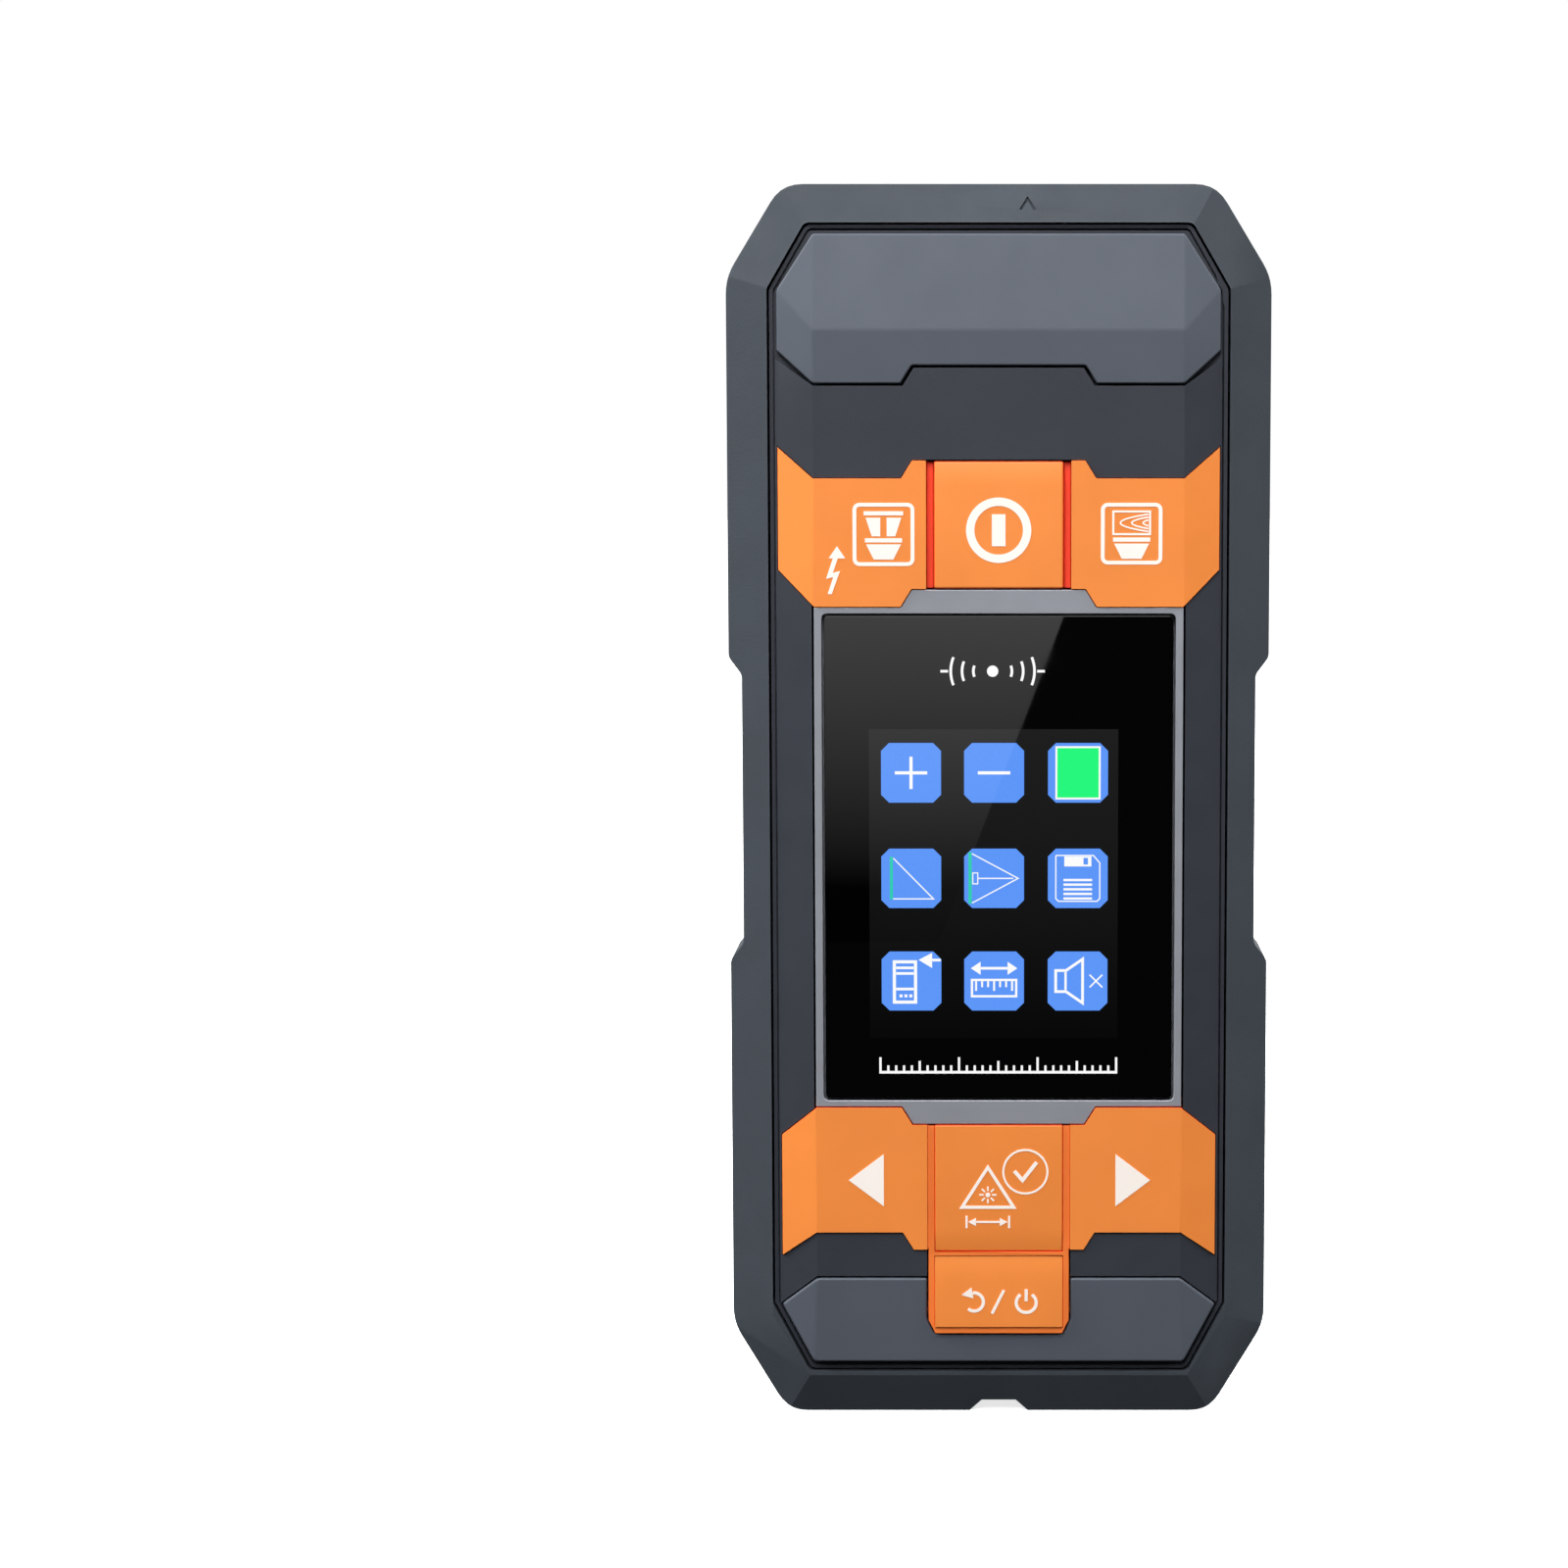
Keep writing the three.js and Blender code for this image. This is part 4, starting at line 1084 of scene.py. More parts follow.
@dataclass
class Bumper:
    """Rubber frame all round, with a pointer on its upper bezel and grips at its waist.

    Attributes:
        edge: Rounding of its edges.
        pointer_half: Half the width of the pointer.
        pointer_drop: Places of its foot and its tip below the upper end.
        pointer_width: Width of the pointer's line.
        pointer_depth: Depth of the pointer's line.
        waist_depth: Depth behind the front where the waist's width is taken.
        waist_reach: Distance from the middle within which the waist lies.
        grip_count: Number of grip grooves on each side.
        grip_range: Places of the first and last groove, as shares of the height.
        grip_width: Width of one groove.
        grip_depth: Depth of one groove.
        grip_ends: Distances of a groove's ends from the front and the back.
    """

    edge: float = 0.35
    pointer_half: float = 0.92
    pointer_drop: Point = (3.4, 1.95)
    pointer_width: float = 0.36
    pointer_depth: float = 0.45
    waist_depth: float = 2.9
    waist_reach: float = 20
    grip_count: int = 9
    grip_range: Point = (0.42, 0.585)
    grip_width: float = 1.1
    grip_depth: float = 0.5
    grip_ends: Point = (5.5, 2)

    def build(self) -> None:
        """Builds the frame from its CAD shape."""
        piece = moulding("outer_frame", "rubber_frame")
        pointer = self.pointer(Surface(piece))
        soften(piece, self.edge)
        carve(piece, self.grips())
        carve(piece, pointer)
        fitted(piece, body_of("outer_frame"), RUBBER)

    def pointer(self, surface: Surface) -> Shaper:
        """Makes the tool for the pointer over the laser, which follows the bezel's slope.

        Args:
            surface: The outside of the frame.

        Returns:
            The tool.
        """
        top = span("outer_frame")[1].z
        centre = middle_of("laser_module").x
        foot, tip = (top - drop for drop in self.pointer_drop)
        left, right = centre - self.pointer_half, centre + self.pointer_half
        tools = Shaper()
        tools.line([(left, foot), (centre, tip), (right, foot)], self.pointer_width, 0, PAST)
        for vertex in tools.work.verts:
            face = surface.front(vertex.co.x / MM, vertex.co.z / MM)
            outside = vertex.co.y < PAST / 2 * MM
            vertex.co.y = (face - PAST if outside else face + self.pointer_depth) * MM
        return tools

    def grips(self) -> Shaper:
        """Makes the tool for the grip grooves on both sides of the waist.

        Returns:
            The tool.
        """
        low, high = span("outer_frame")
        outline = section("outer_frame", low.y + self.waist_depth)[0]
        waist = max(x for x, z in outline if abs(z - high.z / 2) < self.waist_reach)
        first, last = (high.z * share for share in self.grip_range)
        front, back = low.y + self.grip_ends[0], high.y - self.grip_ends[1]
        rise = self.grip_width / 2
        tools = Shaper()
        for side in SIDES:
            inner, outer = sorted((side * (waist - self.grip_depth), side * (waist + PAST)))
            for index in range(self.grip_count):
                z = first + (last - first) * index / (self.grip_count - 1)
                tools.plate(rectangle(inner, z - rise, outer, z + rise), front, back)
        return tools


# ---------------------------------------------------------------- front housing


@dataclass
class FrontHousing:
    """Charcoal panel with a groove round its raised field, and its two facetted caps.

    Attributes:
        edge: Rounding of the panel's edges.
        cap_edge: Rounding of the ridges on the caps.
        cap_angle: Ridges sharper than this many degrees are rounded.
        ledge: Depth of the ledge behind the front of the panel.
        sample: Depth below the ledge where its outline is taken.
        margin: Width of the ledge.
        groove: Width of the groove at the foot of the raised field.
        groove_depth: Depth of that groove.
    """

    edge: float = 0.22
    cap_edge: float = 0.45
    cap_angle: float = 5
    ledge: float = 2.4
    sample: float = 0.5
    margin: float = 0.75
    groove: float = 0.28
    groove_depth: float = 0.6

    def build(self) -> None:
        """Builds the panel and the caps."""
        piece = moulding("front_panel", "panel_front")
        ledge = span("front_panel")[0].y + self.ledge
        foot = inset(section("front_panel", ledge + self.sample)[0], self.margin)
        tools = Shaper()
        tools.ring(inset(foot, -self.groove), foot, ledge - PAST, ledge + self.groove_depth)
        soften(piece, self.edge)
        carve(piece, tools)
        fitted(piece, body_of("front_panel"), PANEL)
        for node in ("upper_cap", "lower_cap"):
            cap = moulding(node, f"{node}_facetted")
            soften(cap, self.cap_edge, angle=self.cap_angle)
            fitted(cap, body_of(node), CAP)


# ---------------------------------------------------------------- keys


class Slope(Enum):
    """Which end of a key falls away."""

    NONE = 0
    UPPER = 1
    LOWER = -1


@dataclass
class Key:
    """One key: a soft-edged rubber cap that may slope at one end, with its printed mark.

    Attributes:
        node: Its CAD node, which is also its body.
        slope: The end that falls away.
        reach: Length of the slope.
        drop: How far the slope falls.
        edge: Rounding of its edges.
        swell: How far the soft walls swell into the gap round them.
        wall: Depth of the walls that swell.
        skin: Depth within which a point counts as part of the front.
    """

    node: str
    slope: Slope = Slope.NONE
    reach: float = 3
    drop: float = 0.4
    edge: float = 0.42
    swell: float = 0.2
    wall: float = 3.6
    skin: float = 0.1

    def build(self) -> None:
        """Builds the key's cap."""
        piece = moulding(self.node, f"{self.node}_cap")
        fattened(piece, self.swell, span(self.node)[0].y + self.wall)
        if self.slope is not Slope.NONE:
            self.tilt(piece)
        soften(piece, self.edge, segments=4)
        fitted(piece, body_of(self.node), ORANGE)

    def tilt(self, piece: bpy.types.Object) -> None:
        """Lowers the front face towards one end.

        Args:
            piece: The cap.
        """
        low, high = span(self.node)
        end = high.z if self.slope is Slope.UPPER else low.z
        start = end - self.slope.value * self.reach
        work = bmesh.new()
        work.from_mesh(piece.data)
        sliced(work, Vector((0, 0, start)), UP)
        for vertex in work.verts:
            share = (vertex.co.z / MM - start) / (end - start)
            if vertex.co.y / MM < low.y + self.skin and share > 0:
                vertex.co.y += share * self.drop * MM
        work.to_mesh(piece.data)
        work.free()


@dataclass
class KeyMat:
    """Rubber mat behind a keypad, whose web fills the grooves between the middle keys.

    Attributes:
        node: Its CAD node.
        slot: Its material slot; not used.
        finish: Its finish.
        lift: How far the soft web bulges forwards.
        swell: How far the web's walls swell into the gap round them.
        edge: Rounding of its edges.
        sheet: Depth of the mat from the front of its web to the front of its flat sheet.
    """

    node: str
    slot: str
    finish: Finish
    lift: float = 0
    swell: float = 0.08
    edge: float = 0.16
    sheet: float = 3

    def build(self) -> None:
        """Builds the mat."""
        piece = moulding(self.node, f"{self.node}_moulded")
        front = span(self.node)[0].y
        fattened(piece, self.swell, front + self.sheet)
        for vertex in piece.data.vertices:
            if vertex.co.y / MM < front + self.swell:
                vertex.co.y -= self.lift * MM
        soften(piece, self.edge)
        fitted(piece, body_of(self.node), self.finish)


BEAM_HALF = [(0.42, -0.25), (1.55, -0.25), (2.35, 2.2), (0.42, 2.2)]
SENSOR_CUP = [(-1.3, 0), (1.3, 0), (2.3, 2), (-2.3, 2)]
BOLT = [
    (-0.7, -6.3), (0.4, -3.25), (-0.55, -3.5), (0.1, -1.6), (1.1, -1.6), (0, 0),
    (-1.1, -1.6), (-0.55, -1.6), (-1.45, -4.3), (-0.5, -4.05), (-1.25, -6.3),
]
LEFT_HEAD = [(-4.7, 0), (0, -3.55), (0, 3.55)]
RIGHT_HEAD = [(4.65, 0), (0, 3.55), (0, -3.55)]
BEAM_TRIANGLE = [(-5.3, -2.75), (2.4, -2.75), (-1.45, 3.3)]
TICK = [(2.1, 2.4), (3.2, 1.15), (5.1, 3.6)]


@dataclass
class Print:
    """White marks printed on the keys, a little proud of them.

    Attributes:
        height: How far the print stands proud.
        sink: How far it reaches into the key.
        bold: Width of a bold line.
        stroke: Width of a plain line.
        line: Width of a thin line.
        fine: Width of a fine line.
        corner: Radius of a framed mark's corners.
        sensor_drop: Distance of the sensor's foot below the middle of a framed mark.
    """

    height: float = 0.05
    sink: float = 0.05
    bold: float = 0.5
    stroke: float = 0.42
    line: float = 0.27
    fine: float = 0.2
    corner: float = 0.9
    sensor_drop: float = 3.3

    def build(self) -> None:
        """Prints every key's mark, each at its own distance from the middle of the key."""
        marks: dict[str, tuple[Callable[[Pen], None], Point]] = {
            "metal_key": (self.draw_beam, (4.19, -0.8215)),
            "power_key": (self.draw_power, (0, -0.7)),
            "wood_key": (self.draw_grain, (-1.85, -0.7215)),
            "left_key": (self.draw_left, (3.925, 0.255)),
            "measure_key": (self.draw_measure, (0, 0)),
            "right_key": (self.draw_right, (-3.675, 0.255)),
            "off_key": (self.draw_off, (0, -1.375)),
        }
        for node, (draw, (dx, dz)) in marks.items():
            front, middle = span(node)[0].y, middle_of(node)
            pen = Pen(front - self.height, front + self.sink)
            draw(pen.at(middle.x + dx, middle.z + dz))
            fitted(pen.shapes.piece(f"{node}_print"), body_of(node), PRINT)

    def draw_sensor(self, pen: Pen) -> None:
        """Draws a sensor head: a bar over a cup with sloping sides."""
        pen.fill(rectangle(-2.45, 2.25, 2.45, 2.8))
        pen.fill(SENSOR_CUP)

    def draw_beam(self, pen: Pen) -> None:
        """Draws a steel beam over a sensor in a frame, with a bolt beside it.

        Args:
            pen: The pen, at the middle of the frame.
        """
        pen.outline(rectangle(-4.07, -4.15, 4.07, 4.15, self.corner), self.bold)
        self.draw_sensor(pen.at(0, -self.sensor_drop))
        pen.fill(rectangle(-2.6, 2.5, 2.6, 3.05))
        for side in SIDES:
            pen.fill([(side * x, z) for x, z in BEAM_HALF])
        pen.at(-6.14, -1.55).fill(BOLT)

    def draw_power(self, pen: Pen) -> None:
        """Draws a bold ring with a bar in it."""
        pen.outline(circle(0, 0, 4.3, 48), 1.1)
        pen.fill(rectangle(-0.9, -2.1, 0.9, 2.1))

    def draw_grain(self, pen: Pen) -> None:
        """Draws a block of wood over a sensor in a frame.

        Args:
            pen: The pen, at the middle of the frame.
        """
        pen.outline(rectangle(-4.05, -4.05, 4.05, 4.05, self.corner), self.bold)
        self.draw_sensor(pen.at(0, -self.sensor_drop))
        pen.outline(rectangle(-2.55, -0.2, 2.55, 3.05), self.line)
        steps = [share / 5 for share in range(-5, 6)]
        for reach, rise in ((0.7, 0.38), (2.2, 0.76), (3.7, 1.14)):
            grain = [(2.2 - reach * (1 - step**2), 1.42 + rise * step) for step in steps]
            pen.line(grain, self.fine)

    def draw_left(self, pen: Pen) -> None:
        """Draws a solid arrow head to the left."""
        pen.fill(LEFT_HEAD)

    def draw_right(self, pen: Pen) -> None:
        """Draws a solid arrow head to the right."""
        pen.fill(RIGHT_HEAD)

    def draw_measure(self, pen: Pen) -> None:
        """Draws a beam triangle with a burst in it, a ticked ring and a dimension line.

        Args:
            pen: The pen, at the middle of the key.
        """
        pen.outline(BEAM_TRIANGLE, self.stroke)
        burst = pen.at(-1.45, -0.85)
        for turn in range(0, 360, 45):
            x, z = math.cos(math.radians(turn)), math.sin(math.radians(turn))
            burst.line([(reach * x, reach * z) for reach in (0.55, 1.15)], 0.22)
        burst.fill(circle(0, 0, 0.32, 16))
        pen.outline(circle(3.58, 2.3, 3.1), self.line)
        pen.line(TICK, self.bold)
        rule = pen.at(-1.45, -4.55)
        rule.line([(-1.57, 0), (1.57, 0)], self.line)
        for side in SIDES:
            end, base = side * 2.85, side * 1.6
            rule.line([(end, -0.85), (end, 0.85)], self.line)
            rule.fill([(end - side * 0.2, 0), (base, 0.55), (base, -0.55)])

    def draw_off(self, pen: Pen) -> None:
        """Draws a return arrow, a stroke and a standby ring.

        Args:
            pen: The pen, at the middle of the stroke.
        """
        pen.line(arc(-3.3, 0, 1.25, -130, 98, 16), self.stroke)
        pen.fill([(-5, 0.97), (-3.65, 1.97), (-3.39, 0.49)])
        pen.line([(-0.9, -1.6), (0.7, 1.6)], 0.38)
        pen.line(arc(3.7, -0.1, 1.35, 125, 415, 20), self.stroke)
        pen.line([(3.7, 0.1), (3.7, 1.75)], self.stroke)


@dataclass
class Keys:
    """The seven keys, the two mats behind them and the marks on them.

    Attributes:
        plain: Keys with a level front.
        upper: Keys that fall away at their upper end.
        lower: Keys that fall away at their lower end.
    """

    plain: tuple[str, ...] = ("metal_key", "wood_key", "left_key", "right_key")
    upper: tuple[str, ...] = ("power_key", "off_key")
    lower: tuple[str, ...] = ("measure_key",)

    def build(self) -> None:
        """Builds the keys with their slopes, then the marks and the mats."""
        slopes = ((Slope.NONE, self.plain), (Slope.UPPER, self.upper), (Slope.LOWER, self.lower))
        for slope, nodes in slopes:
            for node in nodes:
                Key(node, slope).build()
        Print().build()
        # Both mats take deeper copies of the key orange: painted shade in their grooves.
        KeyMat("upper_key_mat", "keymat", GROOVE_SHADE_RED).build()
        KeyMat("lower_key_mat", "key", GROOVE_SHADE_ORANGE, lift=0.32).build()


# ---------------------------------------------------------------- screen


DISK_BODY = [
    (-2.6, -3.15), (2.6, -3.15), (3, -2.75), (3, 2.1),
    (2.1, 3.15), (-2.9, 3.15), (-3, 3), (-3, -2.75),
]
HORN = [(-3.1, -1.6), (-1.6, -1.6), (0.85, -3.3), (0.85, 3.3), (-1.6, 1.6), (-3.1, 1.6)]


@dataclass
class Screen:
    """Silver surround, black glass and what the display shows.

    Attributes:
        edge: Rounding of the surround.
        glass_edge: Rounding of the glass.
        lift: How far each lit layer lies in front of the last.
        gap: Gap between two lit layers.
        panel: Corners of the dim field, from the middle of the glass.
        icon_half: Half the width of one icon.
        icon_corner: Size of its cut corners.
        columns: Middles of the icon columns, from the middle of the glass.
        rows: Middles of the icon rows, from the middle of the glass, the top one first.
        waves: Middle of the sensing waves, from the middle of the glass.
        scale: Foot of the measuring scale, from the middle of the glass.
        thin: Width of a thin line.
    """

    edge: float = 0.25
    glass_edge: float = 0.12
    lift: float = 0.02
    gap: float = 0.005
    panel: tuple[float, float, float, float] = (-17.2, -24.125, 15.85, 17.275)
    icon_half: float = 3.975
    icon_corner: float = 1.05
    columns: tuple[float, float, float] = (-11.62, -0.61, 10.52)
    rows: tuple[float, float, float] = (11.475, -2.625, -16.425)
    waves: Point = (-0.8, 24.975)
    scale: Point = (0, -28.925)
    thin: float = 0.16

    def build(self) -> None:
        """Builds the surround, the glass and the picture on it."""
        surround = moulding("screen_surround", "silver_surround")
        soften(surround, self.edge)
        fitted(surround, body_of("screen_surround"), SILVER)
        glass = moulding("screen_window", "screen_glass")
        soften(glass, self.glass_edge)
        fitted(glass, body_of("screen_window"), BLACK_GLASS)
        self.show_panel()
        self.show_icons()
        self.show_marks()

    def pen(self, level: int) -> Pen:
        """Pen for one layer of the picture, at the middle of the glass.

        Args:
            level: Number of the layer, 1 for the nearest to the glass.

        Returns:
            The pen.
        """
        glass, middle = span("screen_window")[0].y, middle_of("screen_window")
        front, back = glass - self.lift * level, glass - self.lift * (level - 1) - self.gap
        return Pen(front, back).at(middle.x, middle.z)

    def lit(self, pen: Pen, name: str, finish: Glow) -> None:
        """Adds what a pen has drawn to the display."""
        fitted(pen.shapes.piece(name), body_of("screen_window"), finish)

    def show_panel(self) -> None:
        """Adds the dim field behind the icons."""
        pen = self.pen(1)
        pen.fill(rectangle(*self.panel))
        self.lit(pen, "display_field", LIT_PANEL)

    def show_icons(self) -> None:
        """Adds the nine blue tiles."""
        pen = self.pen(2)
        for z in self.rows:
            for x in self.columns:
                pen.fill(chamfered(x, z, self.icon_half, self.icon_corner))
        self.lit(pen, "display_tiles", LIT_BLUE)

    def show_marks(self) -> None:
        """Adds the white, green and teal marks."""
        white, green, teal = self.pen(3), self.pen(3), self.pen(3)
        left, middle, right = self.columns
        top, centre, bottom = self.rows
        green.at(right, top).fill(rectangle(-2.75, -3.3, 2.75, 3.3))
        white.at(right, top).outline(rectangle(-3, -3.55, 3, 3.55), 0.25)
        white.fill(cross(left, top, 2.15, 0.21))
        white.at(middle, top).fill(rectangle(-2.15, -0.21, 2.15, 0.21))
        self.draw_triangle(white.at(left, centre), teal.at(left, centre))
        self.draw_two_triangles(white.at(middle, centre), teal.at(middle, centre))
        self.draw_disk(white.at(right, centre))
        self.draw_device(white.at(left, bottom))
        self.draw_rule(white.at(middle, bottom))
        self.draw_speaker(white.at(right, bottom))
        self.draw_waves(white.at(*self.waves))
        self.draw_scale(white.at(*self.scale))
        self.lit(white, "display_white_marks", LIT_WHITE)
        self.lit(green, "display_green_mark", LIT_GREEN)
        self.lit(teal, "display_teal_marks", LIT_TEAL)

    def draw_triangle(self, white: Pen, teal: Pen) -> None:
        """Draws a right triangle with its measured side lit."""
        white.line([(-2.38, 2.7), (2.95, -2.75), (-2.42, -2.75)], self.thin)
        teal.fill(rectangle(-2.85, -2.8, -2.45, 2.9))

    def draw_two_triangles(self, white: Pen, teal: Pen) -> None:
        """Draws two right triangles back to back, with their measured side lit.

        Args:
            white: The white pen, at the middle of the icon.
            teal: The teal pen, at the middle of the icon.
        """
        white.line([(-2.93, 3.3), (3.2, 0), (-2.93, -3.3)], self.thin)
        white.fill(rectangle(-2.08, -0.08, 2.55, 0.08))
        white.outline(rectangle(-2.9, -0.8, -2.1, 0.8), 0.14)
        teal.fill(rectangle(-3.4, -3.4, -2.98, 3.5))

    def draw_disk(self, pen: Pen) -> None:
        """Draws a memory disk.

        Args:
            pen: The pen, at the middle of the icon.
        """
        pen.outline(DISK_BODY, self.thin)
        pen.ring(rectangle(-1.8, 1.6, 1.8, 2.95), rectangle(0.75, 1.85, 1.35, 2.75))
        for index in range(5):
            foot = -2.85 + index * 0.62
            pen.fill(rectangle(-1.9, foot, 1.9, foot + 0.3))

    def draw_device(self, pen: Pen) -> None:
        """Draws an instrument with an arrow at its upper end.

        Args:
            pen: The pen, at the middle of the icon.
        """
        pen.outline(rectangle(-2.5, -3.05, 0.75, 2.8), 0.42)
        for foot in (-1.25, 0.85, 1.6):
            pen.fill(rectangle(-2.05, foot, 0.3, foot + 0.35))
        for left in (-1.6, -0.95, -0.3):
            pen.fill(rectangle(left, -2.2, left + 0.4, -1.8))
        pen.fill([(0.95, 2.85), (2.75, 1.75), (2.75, 3.8)])
        pen.fill(rectangle(2.77, 2.65, 3.9, 3))

    def draw_rule(self, pen: Pen) -> None:
        """Draws a short rule under a two-ended arrow.

        Args:
            pen: The pen, at the middle of the icon.
        """
        pen.outline(rectangle(-3.1, -2.2, 3.1, 0.3), 0.3)
        for index in range(7):
            tick = -2.4 + index * 0.8
            drop = 1.3 if index % 3 == 0 else 0.8
            pen.fill(rectangle(tick - 0.13, -0.02 - drop, tick + 0.13, -0.02))
        pen.fill(rectangle(-1.78, 1.55, 1.78, 1.9))
        for side in SIDES:
            tip, base = side * 3.1, side * 1.8
            pen.fill([(tip, 1.72), (base, 2.6), (base, 0.85)])

    def draw_speaker(self, pen: Pen) -> None:
        """Draws a muted loudspeaker.

        Args:
            pen: The pen, at the middle of the icon.
        """
        pen.outline(HORN, 0.36)
        pen.fill(rectangle(-1.75, -1.2, -1.45, 1.2))
        pen.fill(cross(2.45, 0, 1.2, 0.1, 45))

    def draw_waves(self, pen: Pen, width: float = 0.34, half: float = 22) -> None:
        """Draws a dot between two rows of sensing waves.

        Args:
            pen: The pen, at the dot.
            width: Width of the lines.
            half: Half the angle of a wave, in degrees.
        """
        for side, turn in zip(SIDES, (180, 0)):
            for reach in (1.95, 3.445, 4.94):
                pen.line(arc(side * 0.6, 0, reach, turn - half, turn + half, 8), width)
            pen.line([(side * 5.9, 0), (side * 6.9, 0)], width)
        pen.fill(circle(0, 0, 0.75, 24))

    def draw_scale(self, pen: Pen, count: int = 30) -> None:
        """Draws a measuring scale with long, middle and short marks.

        Args:
            pen: The pen, at the foot of the scale.
            count: Number of divisions.
        """
        pen.fill(rectangle(-15.95, 0, 15.85, 0.35))
        for index in range(count + 1):
            x = -15.8 + 31.5 * index / count
            rise = 1.9 if index % 10 == 0 else 1.4 if index % 5 == 0 else 0.8
            pen.fill(rectangle(x - 0.15, 0.36, x + 0.15, 0.3 + rise))


# ---------------------------------------------------------------- rear


@dataclass
class RearCase:
    """Rear shell with grips and a detector mark, with its glide pads and screws.

    Attributes:
        edge: Rounding of the shell.
        pad_edge: Rounding of a glide pad.
        screw_edge: Rounding of a screw.
        rib_count: Number of grip grooves on each side of the door.
        rib_ends: Distances of a groove's ends from the side of the door.
        rib_margin: Distance of the first and last groove from the door's ends.
        rib_half: Half the width of a groove.
        rib_corner: Radius of a groove's ends.
        rib_depth: Depth of a groove.
        mark_margin: Distance of the detector mark's ring inside the coil's edge.
        mark_width: Width of the mark's lines.
        mark_depth: Depth of the mark's lines.
        arm_gaps: Gaps between an arm of the mark and its middle, and its ring.
    """

    edge: float = 0.3
    pad_edge: float = 0.25
    screw_edge: float = 0.12
    rib_count: int = 8
    rib_ends: Point = (2.6, 9)
    rib_margin: float = 6
    rib_half: float = 0.9
    rib_corner: float = 0.85
    rib_depth: float = 0.6
    mark_margin: float = 1.5
    mark_width: float = 0.6
    mark_depth: float = 0.35
    arm_gaps: Point = (2.5, 2)

    def build(self) -> None:
        """Builds the shell, the pads and the screws."""
        shell = moulding("rear_shell", "back_shell")
        soften(shell, self.edge)
        tools = Shaper()
        self.add_ribs(tools)
        self.add_mark(tools)
        carve(shell, tools)
        fitted(shell, body_of("rear_shell"), SHELL)
        for index in range(1, 5):
            pad = moulding(f"glide_pad_{index}", f"foam_pad_{index}")
            soften(pad, self.pad_edge)
            fitted(pad, body_of(f"glide_pad_{index}"), FELT)
            screw = moulding(f"case_screw_{index}", f"cross_screw_{index}")
            soften(screw, self.screw_edge)
            fitted(screw, body_of(f"case_screw_{index}"), STEEL)

    def add_ribs(self, tools: Shaper) -> None:
        """Adds the grip grooves beside the door to the shell's tool.

        Args:
            tools: The tool.
        """
        back = span("rear_shell")[1].y
        low, high = span("battery_door")
        first, last = low.z + self.rib_margin, high.z - self.rib_margin
        for side in SIDES:
            near, far = sorted(side * (high.x + end) for end in self.rib_ends)
            for index in range(self.rib_count):
                z = first + (last - first) * index / (self.rib_count - 1)
                rib = rectangle(near, z - self.rib_half, far, z + self.rib_half, self.rib_corner)
                tools.groove(rib, back, self.rib_depth)

    def add_mark(self, tools: Shaper) -> None:
        """Adds the ring and four arms over the detector coil to the shell's tool.

        Args:
            tools: The tool.
        """
        back = span("rear_shell")[1].y
        middle = middle_of("detector_coil")
        radius = span("detector_coil")[1].x - middle.x - self.mark_margin
        levels = back - self.mark_depth, back + PAST
        tools.outline(circle(middle.x, middle.z, radius, 64), self.mark_width, *levels)
        start, end = self.arm_gaps[0], radius - self.arm_gaps[1]
        for dx, dz in ((1, 0), (-1, 0), (0, 1), (0, -1)):
            arm = moved([(dx * start, dz * start), (dx * end, dz * end)], middle.x, middle.z)
            tools.line(arm, self.mark_width, *levels)


@dataclass
class BatteryDoor:
    """Door over the cells, with long grooves and an opening arrow.

    Attributes:
        edge: Rounding of the door.
        places: Places of the grooves across the door.
        groove_half: Half the width of a groove.
        groove_corner: Radius of a groove's ends.
        groove_depth: Depth of a groove.
        groove_ends: Distances of a groove's ends from the lower and the upper edge.
        arrow_half: Half the width of the arrow.
        arrow_drop: Distances of the arrow's ends and its tip below the upper edge.
        arrow_width: Width of the arrow's line.
        arrow_depth: Depth of the arrow's line.
    """

    edge: float = 0.2
    places: tuple[float, ...] = (-12, -6, 0, 6, 12)
    groove_half: float = 0.6
    groove_corner: float = 0.55
    groove_depth: float = 0.45
    groove_ends: Point = (6, 16)
    arrow_half: float = 2.4
    arrow_drop: Point = (9, 12)
    arrow_width: float = 0.7
    arrow_depth: float = 0.35

    def build(self) -> None:
        """Builds the door."""
        door = moulding("battery_door", "door_leaf")
        soften(door, self.edge)
        carve(door, self.tools())
        fitted(door, body_of("battery_door"), SHELL)

    def tools(self) -> Shaper:
        """Makes the tool for the grooves and the arrow.

        Returns:
            The tool.
        """
        low, high = span("battery_door")
        foot, head = low.z + self.groove_ends[0], high.z - self.groove_ends[1]
        half = self.groove_half
        tools = Shaper()
        for x in self.places:
            groove = rectangle(x - half, foot, x + half, head, self.groove_corner)
            tools.groove(groove, high.y, self.groove_depth)
        end, tip = (high.z - drop for drop in self.arrow_drop)
        arrow = [(-self.arrow_half, end), (0, tip), (self.arrow_half, end)]
        tools.line(arrow, self.arrow_width, high.y - self.arrow_depth, high.y + PAST)
        return tools


